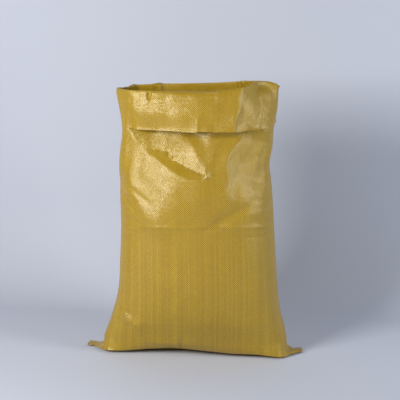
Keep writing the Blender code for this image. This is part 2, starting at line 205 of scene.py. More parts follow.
@dataclass(frozen=True)
class WovenTape:
    """Plain weave of flat polypropylene tape with a clear film on it."""

    tape: float = 0.0025
    yellow: Colour = (0.44, 0.265, 0.009)
    deep: Colour = (0.26, 0.135, 0.002)
    pale: Colour = (0.66, 0.45, 0.017)
    roughness: float = 0.38
    relief: float = 0.00020
    lean: float = 2.6
    arch: float = 0.55
    edge_depth: float = 0.35
    edge_sharpness: float = 6.0
    edge_shade: float = 0.25
    weft_shift: float = 0.37  # gives the weft other chances than the warp
    cloud_scale: float = 22.0
    unevenness: float = 0.10
    cloudiness: float = 0.16
    # painted sheen: the crossings where the warp is on top are painted lighter, standing in for the glint
    # of the stretched tape
    painted_warp_sheen: float = 0.70
    speckle: float = 0.16
    darkening: float = 0.12
    streak: float = 0.21
    streak_top: float = 0.44
    streak_fade: float = 8.0
    # painted shade: a darker, more orange band down the front, just right of its middle, where the cloth is
    # less lit
    orange: float = 0.09
    orange_middle: float = 0.885
    orange_reach: float = 0.075
    film: Colour = (1.0, 0.94, 0.72)
    uv: str = "weave"

    def material(self) -> bpy.types.Material:
        """Builds the material. Its weave follows the map that holds each point's place on the flat cloth.

        Returns:
            The material.
        """
        bench = Bench("woven_tape")
        place = bench.node("ShaderNodeUVMap", {"uv_map": self.uv})
        split = bench.node("ShaderNodeSeparateXYZ", inputs={0: place})
        up = split.output(1)
        across, along = split / self.tape, up / self.tape
        warp, weft = across.floor(), along.floor()
        in_warp, in_weft = across - warp, along - weft
        warp_on_top = (warp + weft) % 2.0
        warp_edge = abs(in_warp * 2 - 1) ** self.edge_sharpness
        weft_edge = abs(in_weft * 2 - 1) ** self.edge_sharpness
        edge = warp_on_top.pick(weft_edge, warp_edge)
        arch = warp_on_top.pick((in_warp * math.pi).sine(), (in_weft * math.pi).sine())
        cell = bench.node("ShaderNodeCombineXYZ", inputs={0: warp, 1: weft})
        chance = bench.node(
            "ShaderNodeTexWhiteNoise", {"noise_dimensions": "2D"}, {"Vector": cell}, output=1
        )
        chances = bench.node("ShaderNodeSeparateColor", inputs={0: chance})
        one = chances.output(2)
        lean_across = (chances - 0.5) * (in_warp - 0.5)
        lean_along = (chances.output(1) - 0.5) * (in_weft - 0.5)
        height = arch * self.arch - edge * self.edge_depth + (lean_across + lean_along) * self.lean
        warp_shade = bench.node("ShaderNodeTexWhiteNoise", {"noise_dimensions": "1D"}, {"W": warp})
        row = weft + self.weft_shift
        weft_shade = bench.node("ShaderNodeTexWhiteNoise", {"noise_dimensions": "1D"}, {"W": row})
        shade = warp_on_top.pick(weft_shade, warp_shade)
        cloud = bench.noise(place, self.cloud_scale, 3.0)
        low = ((self.streak_top - up) * self.streak_fade).at_most(1.0).at_least(0.0)
        streak = (warp_shade - 0.5) * low * self.streak
        # painted shade: the band down the front that is darker and more orange
        painted_shade_band = (1 - abs(split - self.orange_middle) / self.orange_reach).at_least(0.0)
        # the warp's lighter crossings are a painted sheen
        tone = shade * self.unevenness + cloud * self.cloudiness + warp_on_top * self.painted_warp_sheen
        tone = tone + one * self.speckle + streak - painted_shade_band * self.orange - self.darkening
        stops = (0.12, self.deep), (0.42, self.yellow), (0.95, self.pale)
        colour = bench.ramp(stops, tone - edge * self.edge_shade)
        rough = (shade + cloud) * self.unevenness + (self.roughness - self.unevenness)
        return bench.finish(
            Base_Color=colour,
            Roughness=rough,
            Normal=bench.bump(height, self.relief),
            IOR=1.5,
            Specular_IOR_Level=1.0,
            Specular_Tint=(*self.film, 1.0),
        )


@dataclass(frozen=True)
class Powder:
    """Loose dry cement."""

    grey: Colour = (0.285, 0.28, 0.265)
    dark: Colour = (0.17, 0.168, 0.16)
    pale: Colour = (0.40, 0.395, 0.375)
    patch_scale: float = 26.0
    grain_scale: float = 900.0
    crumb_scale: float = 240.0
    relief: float = 0.0012

    def material(self) -> bpy.types.Material:
        """Builds the material, mottled and grained at several scales.

        Returns:
            The material.
        """
        bench = Bench("cement_powder")
        place = bench.node("ShaderNodeTexCoord", output=3)
        patches = bench.noise(place, self.patch_scale, 5.0)
        grain = bench.noise(place, self.grain_scale, 4.0)
        crumbs = bench.node("ShaderNodeTexVoronoi", inputs={"Vector": place, "Scale": self.crumb_scale})
        mix = patches * 0.6 + grain * 0.4
        colour = bench.ramp(((0.25, self.dark), (0.5, self.grey), (0.8, self.pale)), mix)
        height = grain * 0.5 + (1 - crumbs) * 0.5 + patches * 1.5
        return bench.finish(Base_Color=colour, Roughness=0.96, Normal=bench.bump(height, self.relief, 0.7))


@dataclass(frozen=True)
class SpunThread:
    """Off-white spun sewing thread."""

    light: Colour = (0.80, 0.77, 0.68)
    dark: Colour = (0.52, 0.49, 0.41)
    twist_scale: float = 420.0
    relief: float = 0.0002

    def material(self) -> bpy.types.Material:
        """Builds the material, with the twist of the plies as fine bands.

        Returns:
            The material.
        """
        bench = Bench("spun_thread")
        place = bench.node("ShaderNodeTexCoord", output=3)
        bands = bench.node(
            "ShaderNodeTexWave",
            {"bands_direction": "DIAGONAL"},
            {"Vector": place, "Scale": self.twist_scale, "Distortion": 1.5, "Detail": 2.0},
        )
        colour = bench.blend(bands, self.dark, self.light)
        relief = bench.bump(bands, self.relief, 0.6)
        return bench.finish(Base_Color=colour, Roughness=0.85, Normal=relief)


@dataclass(frozen=True)
class StudioPaper:
    """The seamless pale paper of the floor and the wall behind."""

    tint: Colour = (0.61, 0.643, 0.737)
    darker: float = 0.97
    mottle_scale: float = 3.0

    def material(self) -> bpy.types.Material:
        """Builds the material: one matt tint with a faint mottle.

        Returns:
            The material.
        """
        bench = Bench("studio_paper")
        place = bench.node("ShaderNodeTexCoord", output=3)
        mottle = bench.noise(place, self.mottle_scale, 2.0)
        darker = tuple(self.darker * value for value in self.tint)
        return bench.finish(Base_Color=bench.blend(mottle, darker, self.tint), Roughness=0.9)


def eased(share: np.ndarray | float) -> np.ndarray | float:
    """A share held between 0 and 1 and eased at both ends."""
    share = np.clip(share, 0, 1)
    return share * share * (3 - 2 * share)


def stand(azimuth: float, distance: float, height: float) -> Vector:
    """A place at that distance from the sack's middle, to the right of its front by an angle in degrees."""
    turn = math.radians(azimuth)
    return Vector((distance * math.sin(turn), -distance * math.cos(turn), height))


def put(name: str, data: bpy.types.ID) -> bpy.types.Object:
    """Makes an object of that name and puts it in the scene.

    Args:
        name: Its name.
        data: Its mesh, light or camera.

    Returns:
        The object.
    """
    obj = bpy.data.objects.new(name, data)
    bpy.context.scene.collection.objects.link(obj)
    return obj


def tube_faces(rings: int, count: int, first: int = 0) -> list[list[int]]:
    """Joins closed rings of points, numbered one after another, with faces.

    Args:
        rings: How many rings there are.
        count: How many points each has.
        first: The number of the first point.

    Returns:
        The faces, as four points each.
    """
    index = first + np.arange(rings * count).reshape(rings, count)
    after = np.roll(index, -1, axis=1)
    return np.stack([index[:-1], after[:-1], after[1:], index[1:]], axis=-1).reshape(-1, 4).tolist()


def add_piece(
    name: str,
    verts: Sequence[Sequence[float]],
    faces: Sequence[Sequence[int]],
    material: bpy.types.Material,
) -> bpy.types.Object:
    """Makes a smooth mesh piece of one material and puts it in the scene.

    Args:
        name: The piece's name.
        verts: Its points.
        faces: Its faces, as numbers of points.
        material: What it is made of.

    Returns:
        The piece.
    """
    data = bpy.data.meshes.new(name)
    data.from_pydata([tuple(vert) for vert in verts], [], faces)
    data.shade_smooth()
    data.materials.append(material)
    return put(name, data)


def add_map(piece: bpy.types.Object, name: str, places: np.ndarray) -> None:
    """Gives a mesh piece a map, from the flat place of each of its faces' corners."""
    piece.data.uv_layers.new(name=name).data.foreach_set("uv", places.astype(np.float32).ravel())


class Face(Enum):
    """A side of the sack, by the girth place of its middle.

    The girth is counted from the fold on the right, over the back, past the fold on the left, to the front.
    It runs to the right on every face, seen from outside.
    """

    BACK = 0.275
    LEFT = 0.55
    FRONT = 0.825

    def girth(self, offset: float) -> float:
        """The girth place of a point that lies `offset` to the right of this face's middle."""
        return self.value + offset


@dataclass
class SackForm:
    """The smooth shape of the filled sack, before any crease."""

    flat_width: float = 0.55
    base_half_depth: float = 0.052
    shoulder_height: float = 0.040
    neck_height: float = 0.560
    rim_height: float = 0.690
    rim_rise_right: float = 0.011
    rim_drop_left: float = 0.006
    rim_tilt: float = 0.0035
    fold_radius: float = 0.0021
    cuff_drop: float = 0.090
    floor_gap: float = 0.0006
    seam_lift: float = 0.0032
    tip_lifts: tuple[float, float] = (0.0050, 0.0056)
    ear_gap: float = 0.0016
    hem_reach: float = 0.030
    foot_length: float = 0.045
    edge_run: float = 2.6  # how far in the bottom starts to rise, for each unit that its edge is lifted
    edge_curve: float = 1.05
    edge_draw: float = 0.12  # how far the lifted edge is drawn in, for each unit of lift
    tip_curve: float = 1.3
    ear_curve: float = 1.5
    corner_out: float = 0.65
    corner_up: float = 0.5
    ear_drop: float = 0.46
    ear_pull: float = 1.5
    ear_opening: float = 8.0
    outline_points: int = 1441
    depth_limits: tuple[float, float] = (0.02, 0.25)
    depth_halvings: int = 22
    hem_front: float = 0.006  # how far the hem reaches in front of the seam
    hem_slope: float = 0.006
    ear_steps: int = 12
    back_steps: int = 80
    front_steps: int = 128
    # along the seam, and how high the bottom's edge stands off the floor there in front and behind
    edge_lifts: tuple[tuple[float, ...], ...] = (
        (-0.223, 0.0088, 0.0120), (-0.180, 0.0095, 0.0060), (-0.130, 0.0160, 0.0050),
        (-0.050, 0.0225, 0.0050), (0.024, 0.0165, 0.0050), (0.100, 0.0110, 0.0050),
        (0.166, 0.0107, 0.0060), (0.210, 0.0070, 0.0100), (0.223, 0.0056, 0.0160),
    )
    # height, reach left, reach right, squareness, share of the girth in creases
    sections: tuple[tuple[float, ...], ...] = (
        (0.040, 0.2375, 0.2375, 3.3, 0.010),
        (0.070, 0.2262, 0.2320, 3.1, 0.012),
        (0.104, 0.2145, 0.2222, 2.9, 0.014),
        (0.170, 0.1978, 0.2130, 2.7, 0.018),
        (0.250, 0.1922, 0.2068, 2.6, 0.022),
        (0.350, 0.1888, 0.2005, 2.5, 0.036),
        (0.410, 0.1895, 0.1968, 2.5, 0.044),
        (0.450, 0.1895, 0.1935, 2.5, 0.058),
        (0.495, 0.1915, 0.1880, 2.6, 0.078),
        (0.540, 0.1895, 0.1942, 2.8, 0.092),
        (0.585, 0.1820, 0.1960, 3.2, 0.090),
        (0.610, 0.1820, 0.1995, 3.4, 0.080),
        (0.640, 0.1855, 0.2035, 3.6, 0.066),
        (0.670, 0.190, 0.203, 3.8, 0.056),
        (0.700, 0.190, 0.203, 4.0, 0.050),
    )

    def __post_init__(self) -> None:
        """Lays out the columns of the cloth, closer together on the front and at the ears."""
        ear = np.linspace(0, self.base_half_depth, self.ear_steps + 1)
        far = self.flat_width - self.base_half_depth
        back = np.linspace(self.base_half_depth, far, self.back_steps + 1)
        front = np.linspace(self.base_half_depth, far, self.front_steps + 1)
        halves = [[ear[:-1], middle[:-1], self.flat_width - ear[:0:-1]] for middle in (back, front)]
        self.girth = 2 * self.flat_width
        self.places = np.concatenate([*halves[0], *[part + self.flat_width for part in halves[1]]])
        self.seam_x = np.abs(self.places - self.flat_width) - self.flat_width / 2
        self.side = np.where(self.places <= self.flat_width, 1.0, -1.0)
        self.from_tip = self.flat_width / 2 - np.abs(self.seam_x)

    def section(self, height: float) -> np.ndarray:
        """The wall's sizes at a height, on a smooth curve.

        Args:
            height: The height.

        Returns:
            The reach left and right, the squareness and the share of the girth in creases.
        """
        rows = np.array(self.sections)
        heights, sizes = rows[:, 0], rows[:, 1:]
        slopes = np.gradient(sizes, heights, axis=0)
        i = int(np.clip(np.searchsorted(heights, height) - 1, 0, len(rows) - 2))
        span = heights[i + 1] - heights[i]
        t = min(max((height - heights[i]) / span, 0.0), 1.0)
        return (
            (2 * t**3 - 3 * t**2 + 1) * sizes[i]
            + (t**3 - 2 * t**2 + t) * span * slopes[i]
            + (3 * t**2 - 2 * t**3) * sizes[i + 1]
            + (t**3 - t**2) * span * slopes[i + 1]
        )

    def outline(self, height: float) -> np.ndarray:
        """The wall's outline at a height. Its depth follows from the girth of the tube.

        Args:
            height: The height.

        Returns:
            The outline at each column, in plan.
        """
        left, right, squareness, slack = self.section(height)
        angle = np.linspace(0, 2 * math.pi, self.outline_points)
        cosine, sine = np.cos(angle), np.sin(angle)
        x = np.where(cosine > 0, right, left) * np.sign(cosine) * np.abs(cosine) ** (2 / squareness)
        y = np.sign(sine) * np.abs(sine) ** (2 / squareness)
        low, high = self.depth_limits
        for _ in range(self.depth_halvings):
            depth = (low + high) / 2
            along = np.concatenate([[0.0], np.cumsum(np.hypot(np.diff(x), depth * np.diff(y)))])
            if along[-1] < self.girth * (1 - slack):
                low = depth
            else:
                high = depth
        places = self.places / self.girth * along[-1]
        return np.column_stack([np.interp(places, along, x), np.interp(places, along, depth * y)])

    def rim_rise(self, outline: np.ndarray) -> np.ndarray:
        """How far the rim stands above its mean height at each column: up at the right and in front."""
        along, across = (outline / np.abs(outline).max(axis=0)).T
        rise = np.where(along > 0, self.rim_rise_right, -self.rim_drop_left)
        return rise * along**2 - self.rim_tilt * across

    def wall_row(self, height: float) -> np.ndarray:
        """One row of the wall, at a mean height. Towards the rim it follows the rim's rise and fall.

        Args:
            height: The row's mean height.

        Returns:
            The points of the row.
        """
        outline = self.outline(height)
        ramp = eased((height - self.neck_height) / (self.rim_height - self.neck_height))
        return np.column_stack([outline, height + ramp * self.rim_rise(outline)])

    def tip_lift(self, along: np.ndarray) -> np.ndarray:
        """How high the tip of the nearer ear stands."""
        return np.where(along < 0, *self.tip_lifts)

    def seam_height(self, along: np.ndarray) -> np.ndarray:
        """How high the seam stands along it: it runs over the hem and up to the ears' tips."""
        ear = np.clip(1 - (self.flat_width / 2 - np.abs(along)) / self.base_half_depth, 0, 1)
        return self.seam_lift + (self.tip_lift(along) - self.seam_lift) * ear**self.tip_curve

    def bottom_points(self, reach: np.ndarray) -> np.ndarray:
        """The bottom's lower layer, whose edge curves up.

        Args:
            reach: The distance from the seam, for each column.

        Returns:
            The point at each column.
        """
        edge = self.base_half_depth
        along, front, behind = np.array(self.edge_lifts).T
        front, behind = (np.interp(self.seam_x, along, lifts) for lifts in (front, behind))
        lift = np.where(self.side < 0, front, behind)
        flat = np.maximum(edge - self.edge_run * lift, 0.0)
        beyond = np.clip((reach - flat) / (edge - flat), 0, 1)
        hem = np.where(self.side < 0, self.hem_front, self.hem_reach)
        over_hem = np.clip((hem + self.hem_slope - reach) / self.hem_slope, 0, 1)
        plain = self.floor_gap + lift * beyond**self.edge_curve
        plain = plain + (self.seam_lift - self.floor_gap) * over_hem * (1 - beyond)
        near = np.maximum(np.minimum(self.from_tip, edge), 1e-6)
        seam, tip = self.seam_height(self.seam_x), self.tip_lift(self.seam_x)
        slant = tip + (lift - tip) * (near / edge) ** 2
        folded = seam + (slant - seam) * (reach / near) ** self.ear_curve
        share = eased(2 * (1 - near / edge))
        height = (1 - share) * plain + share * folded
        return np.column_stack([self.seam_x, self.side * (reach - self.edge_draw * lift * beyond), height])

    def base_rows(self, foot_steps: int) -> list[np.ndarray]:
        """The bottom from the seam to its edge, and the rows that turn up from there to the shoulder.

        An ear's upper layer starts where its lower one ends, along the slanting edge.

        Args:
            foot_steps: How many rows turn up.

        Returns:
            The rows, from the seam.
        """
        edge = self.base_half_depth
        near = np.minimum(self.from_tip, edge)
        ear = np.sin(np.clip(1 - near / edge, 0, 1) * math.pi / 2)[:, None]
        start = self.bottom_points(near)
        shoulder = np.full(len(near), self.shoulder_height)
        end = np.column_stack([self.outline(self.shoulder_height), shoulder])
        out, up = self.corner_out + (1 - self.corner_out) * ear, self.corner_up - self.ear_drop * ear
        corner = start + (end - start) * np.hstack([out, out, up])
        under = np.linspace(0, edge, self.ear_steps + 1)
        foot = edge + self.foot_length * np.linspace(0, 1, foot_steps + 1)[1:]
        rows = []
        for reach in (*under, *foot):
            t = np.clip((reach - near) / (edge + self.foot_length - near), 0, 1)[:, None]
            first, middle, last = (1 - t) ** 2, 2 * (1 + self.ear_pull * ear) * t * (1 - t), t**2
            upper = (first * start + middle * corner + last * end) / (first + middle + last)
            opened = np.sqrt(np.clip(self.ear_opening * t, 0, 1)) * (1 - t)
            upper[:, 2:] += self.ear_gap * opened * ear
            lower = self.bottom_points(np.minimum(reach, near))
            rows.append(np.where((reach <= near)[:, None], lower, upper))
        return rows


def inward_normals(outline: np.ndarray) -> np.ndarray:
    """Unit vectors in the plane that point into a closed outline, at each of its points.

    Args:
        outline: The points of the outline.

    Returns:
        The vector at each of them.
    """
    ahead = np.roll(outline, -1, axis=0) - np.roll(outline, 1, axis=0)
    ahead /= np.linalg.norm(ahead, axis=1)[:, None]
    return np.column_stack([-ahead[:, 1], ahead[:, 0]])


def soften(values: np.ndarray) -> np.ndarray:
    """Values on the grid, each blended with its neighbours. Columns run all the way round.

    Args:
        values: The values, rows by columns.

    Returns:
        The blended values.
    """
    padded = np.pad(values, ((1, 1), *[(0, 0)] * (values.ndim - 1)), mode="edge")
    values = (padded[:-2] + 2 * padded[1:-1] + padded[2:]) / 4
    return (np.roll(values, 1, axis=1) + 2 * values + np.roll(values, -1, axis=1)) / 4


# Points of the rim: the offset on its face, where it stands in plan (along, across), and how far it rises
# above the smooth rim, in millimetres. The back runs from the right end to the left one, the front back.
MOUTH: dict[Face, tuple[tuple[float, float, float, float], ...]] = {
    Face.BACK: (
        (-262, 203, 17, -1), (-236, 181, 28, 6), (-196, 150, 52, 7), (-152, 118, 74, 8), (-100, 92, 80, 7),
        (-40, 36, 84, 5), (60, -54, 84, 3), (106, -94, 85, 3), (117, -103, 79, 8), (128, -113, 71, 4),
        (174, -154, 60, 4), (186, -164, 50, 9), (200, -169, 36, 3), (238, -184, 10, 4),
    ),
    Face.LEFT: (
        (0, -192, -12, 6),
    ),
    Face.FRONT: (
        (-240, -183, -28, 5), (-205, -168, -50, 4), (-178, -154, -68, 4), (-120, -104, -80, 2),
        (-60, -50, -88, 1), (0, 7, -86, 1), (40, 46, -84, 1), (80, 84, -82, 4), (122, 124, -78, 6),
        (150, 140, -52, 9), (186, 152, -18, 11), (222, 172, -4, 9), (262, 204, -3, -1), (275, 208, 7, -8),
    ),
}

CUFF_EDGE = (
    # offset along the front, and how far the cuff's edge hangs under its even line
    (-275, 0.0), (-165, 0.0), (-60, 0.5), (-25, 3.5), (3, 4.5), (14, 2.0), (60, 3.5), (112, 3.5),
    (140, 0.0), (190, -1.0), (240, -3.0), (275, -2.0),
)


@dataclass
class Wall:
    """The wall of the sack as a grid of points, with each point's girth place, height and way out."""

    rows: np.ndarray
    out: np.ndarray
    places: np.ndarray
    round_girth: float

    def __post_init__(self) -> None:
        """Notes the girth place and the height of each point."""
        self.girth = np.broadcast_to(self.places, self.rows.shape[:2])
        self.height = self.rows[:, :, 2].copy()

    def find(self, girth: float, height: float) -> tuple[np.ndarray, np.ndarray]:
        """Finds a point of the wall.

        Args:
            girth: Its girth place.
            height: Its height.

        Returns:
            The point, and the way out of the wall there.
        """
        ends = np.append(self.places, self.round_girth)
        girth %= self.round_girth
        j = int(np.searchsorted(ends, girth, side="right") - 1)
        t = (girth - ends[j]) / (ends[j + 1] - ends[j])
        after = (j + 1) % len(self.places)
        line = self.rows[:, j] * (1 - t) + self.rows[:, after] * t
        ways = self.out[:, j] * (1 - t) + self.out[:, after] * t
        low = int(np.clip(np.searchsorted(line[:, 2], height) - 1, 0, len(line) - 2))
        up = (height - line[low, 2]) / (line[low + 1, 2] - line[low, 2])
        way = ways[low] + (ways[low + 1] - ways[low]) * min(max(up, 0.0), 1.0)
        return line[low] + (line[low + 1] - line[low]) * up, way / np.linalg.norm(way)

    def offset(self, face: Face) -> np.ndarray:
        """Each point's offset to the right of the middle of a face."""
        half = self.round_girth / 2
        return (self.girth - face.value + half) % self.round_girth - half


def join_facets(spots: np.ndarray, edges: list[tuple[int, int]]) -> list[list[int]]:
    """Joins flat points with triangles.

    Args:
        spots: The points.
        edges: The edges to keep.

    Returns:
        The triangles, as three points each.
    """
    result = delaunay_2d_cdt([Vector(spot) for spot in spots], edges, [], 0, 1e-7)
    order = [origin[0] for origin in result[3]]
    return [[order[v] for v in face] for face in result[2]]


def corner_shares(spots: np.ndarray, x: np.ndarray, y: np.ndarray) -> tuple[np.ndarray, np.ndarray]:
    """Finds the flat places that lie in a triangle.

    Args:
        spots: The triangle's corners.
        x: The places, across.
        y: The places, up.

    Returns:
        Which places lie in it, and each corner's share in those.
    """
    (ax, ay), (bx, by), (cx, cy) = spots
    area = (bx - ax) * (cy - ay) - (cx - ax) * (by - ay)
    first = ((bx - x) * (cy - y) - (cx - x) * (by - y)) / area
    second = ((cx - x) * (ay - y) - (ax - x) * (cy - y)) / area
    inside = (first >= 0) & (second >= 0) & (first + second <= 1)
    return inside, np.stack([first[inside], second[inside], 1 - first[inside] - second[inside]], axis=1)


def nearest_on(path: np.ndarray, x: np.ndarray, y: np.ndarray) -> tuple[np.ndarray, np.ndarray]:
    """Finds the nearest spots of a path to flat places.

    Args:
        path: The points of the path.
        x: The places, across.
        y: The places, up.

    Returns:
        How far each place is from the path, and how far along it the nearest spot lies, from 0 to 1.
    """
    nearest, along = np.full(x.shape, FAR), np.zeros(x.shape)
    walked, total = 0.0, np.linalg.norm(np.diff(path, axis=0), axis=1).sum()
    for (ax, ay), (bx, by) in zip(path, path[1:]):
        length = math.hypot(bx - ax, by - ay)
        t = np.clip(((x - ax) * (bx - ax) + (y - ay) * (by - ay)) / length**2, 0, 1)
        far = np.hypot(x - ax - t * (bx - ax), y - ay - t * (by - ay))
        along = np.where(far < nearest, (walked + t * length) / total, along)
        nearest = np.minimum(far, nearest)
        walked += length
    return nearest, along


@dataclass(frozen=True)
class Facing:
    """A patch of the cloth that faces one way.

    The outline is the names of a net's lines, with a "-" before one that is followed backwards. The way is
    in degrees: azimuth to the right of the front, and tilt up.
    """

    outline: str
    azimuth: float
    tilt: float
    weight: float

    def way(self) -> np.ndarray:
        """The way that the patch faces.

        Returns:
            A unit vector.
        """
        azimuth, tilt = math.radians(self.azimuth), math.radians(self.tilt)
        return np.array(
            [math.sin(azimuth) * math.cos(tilt), -math.cos(azimuth) * math.cos(tilt), math.sin(tilt)]
        )


@dataclass(frozen=True)
class FoldNet:
    """Folds drawn on one face as a net of lines, with the ways that the cloth faces between them.

    A line is a run of points (offset from the face's middle, height) in millimetres, measured on the sack.
    How far out each point stands is worked out from the ways that the patches face. The lines whose names
    begin with "smooth" lie where the cloth is round again. A line in `hanging` hangs that much lower than
    it lies on the cloth, over the fold below it.
    """

    face: Face
    lines: dict[str, Path]
    creases: tuple[str, ...]
    facings: tuple[Facing, ...]
    hanging: dict[str, float] = field(default_factory=dict)
    evenness: float = 0.004
    firmness: float = 0.2
    border_firmness: float = 1000.0
    crisp_reach: float = 0.008

    def follow(self, names: str) -> list[int]:
        """Follows lines that join end to end.

        Args:
            names: The lines' names, with a "-" before one that is followed backwards.

        Returns:
            The numbers of the points along them.
        """
        starts = dict(zip(self.lines, np.cumsum([0, *[len(line) for line in self.lines.values()]])))
        numbers: list[int] = []
        for name in names.split(", "):
            key = name.lstrip("-")
            run = list(range(starts[key], starts[key] + len(self.lines[key])))
            numbers += reversed(run) if name.startswith("-") else run
        return numbers

    def spots(self) -> np.ndarray:
        """All the points, in metres."""
        return np.array([spot for line in self.lines.values() for spot in line]) / MM

    def border(self) -> list[int]:
        """The numbers of the points where the cloth is round again."""
        return self.follow(", ".join(name for name in self.lines if name.startswith("smooth")))

    def facets(self) -> list[list[int]]:
        """The triangles that join the points, with the creases and the border kept as edges."""
        runs = [*[self.follow(crease) for crease in self.creases], self.border()]
        return join_facets(self.spots(), [pair for run in runs for pair in zip(run, run[1:])])

    def facing_of(self, place: np.ndarray) -> Facing | None:
        """Finds the patch that a flat place lies in.

        Args:
            place: The place.

        Returns:
            The patch, or None outside them all.
        """
        spots = self.spots()
        for facing in self.facings:
            outline = spots[self.follow(facing.outline)]
            odd = False
            for (ax, ay), (bx, by) in zip(outline, np.roll(outline, -1, axis=0)):
                crossed = (ay > place[1]) != (by > place[1])
                if crossed and place[0] < (bx - ax) * (place[1] - ay) / (by - ay) + ax:
                    odd = not odd
            if odd:
                return facing
        return None

    def depths(self, places: np.ndarray, ways: np.ndarray, faces: list[list[int]]) -> np.ndarray:
        """How far out each point stands, so that the facets face as wanted.

        Args:
            places: The points on the smooth wall.
            ways: The way out of the wall at each of them.
            faces: The facets, as three points each.

        Returns:
            The depths, by least squares: one equation for each edge of each facet, and a weak one for each
            edge that keeps the net even and for each point that keeps it near the wall.
        """
        spots = self.spots()
        border = set(self.border())
        equations: list[tuple[dict[int, float], float]] = []
        edges: set[tuple[int, int]] = set()
        for face in faces:
            (ax, ay), (bx, by), (cx, cy) = spots[face]
            area = abs((bx - ax) * (cy - ay) - (cx - ax) * (by - ay)) / 2
            facing = self.facing_of(spots[face].mean(axis=0))
            for a, b in zip(face, (*face[1:], face[0])):
                step = places[b] - places[a]
                edges.add((min(a, b), max(a, b)))
                if facing:
                    way = facing.way()
                    weight = facing.weight * math.sqrt(area) / np.linalg.norm(step)
                    terms = {b: ways[b] @ way * weight, a: -(ways[a] @ way) * weight}
                    equations.append((terms, -(step @ way) * weight))
        for a, b in sorted(edges):
            weight = self.evenness / np.linalg.norm(places[b] - places[a])
            equations.append(({a: weight, b: -weight}, 0.0))
        for a in range(len(spots)):
            equations.append(({a: self.border_firmness if a in border else self.firmness}, 0.0))
        matrix = np.zeros((len(equations), len(spots)))
        for row, (terms, _) in zip(matrix, equations):
            for a, value in terms.items():
                row[a] = value
        return np.linalg.lstsq(matrix, np.array([wanted for _, wanted in equations]), rcond=None)[0]

    def flatten(self, wall: Wall) -> np.ndarray:
        """Draws this stretch of a wall into flat facets. Near the border it stays round.

        Args:
            wall: The wall.

        Returns:
            Its rows with the facets.
        """
        spots = self.spots()
        found = [wall.find(self.face.girth(offset), height) for offset, height in spots]
        places, ways = np.array([place for place, _ in found]), np.array([way for _, way in found])
        for name, drop in self.hanging.items():
            places[self.follow(name), 2] -= drop / MM
        faces = self.facets()
        depths = self.depths(places, ways, faces)
        corners = places + ways * depths[:, None]
        tight = np.ones(len(spots))
        tight[self.border()] = 0.0
        rows = wall.rows.copy()
        for face in faces:
            inside, share = corner_shares(spots[face], wall.offset(self.face), wall.height)
            taut = (share @ tight[face])[:, None]
            round_ = wall.rows[inside] + wall.out[inside] * (share @ depths[face])[:, None]
            rows[inside] = taut * (share @ corners[face]) + (1 - taut) * round_
        return rows

    def crispness(self, wall: Wall) -> np.ndarray:
        """1 along the creases, falling to 0 away from them.

        Args:
            wall: The wall.

        Returns:
            The value at each of its points.
        """
        paths = [self.spots()[self.follow(crease)] for crease in self.creases]
        near = [nearest_on(path, wall.offset(self.face), wall.height)[0] for path in paths]
        return np.exp(-((np.min(near, axis=0) / self.crisp_reach) ** 2))


@dataclass(frozen=True)
class Pleat:
    """A narrow crease along a path on one face: how far out its middle stands and how wide it is, in mm."""

    face: Face
    path: Path
    depth: float
    width: float
    fade: float = 4.0
    at_ends: float = 0.25

    def push(self, wall: Wall) -> np.ndarray:
        """How far out the cloth is pushed. It fades towards both ends of the path.

        Args:
            wall: The wall.

        Returns:
            The push at each of its points.
        """
        nearest, along = nearest_on(np.array(self.path) / MM, wall.offset(self.face), wall.height)
        fade = np.clip(self.fade * along, 0, 1) * np.clip(self.fade * (1 - along), 0, 1)
        share = self.at_ends + (1 - self.at_ends) * fade
        return self.depth / MM * share * np.exp(-((nearest / (self.width / MM)) ** 2))


def pleats(face: Face, *creases: tuple[Path, float, float]) -> tuple[Pleat, ...]:
    """Pleats on one face, from the path, the depth and the width of each."""
    return tuple(Pleat(face, *crease) for crease in creases)


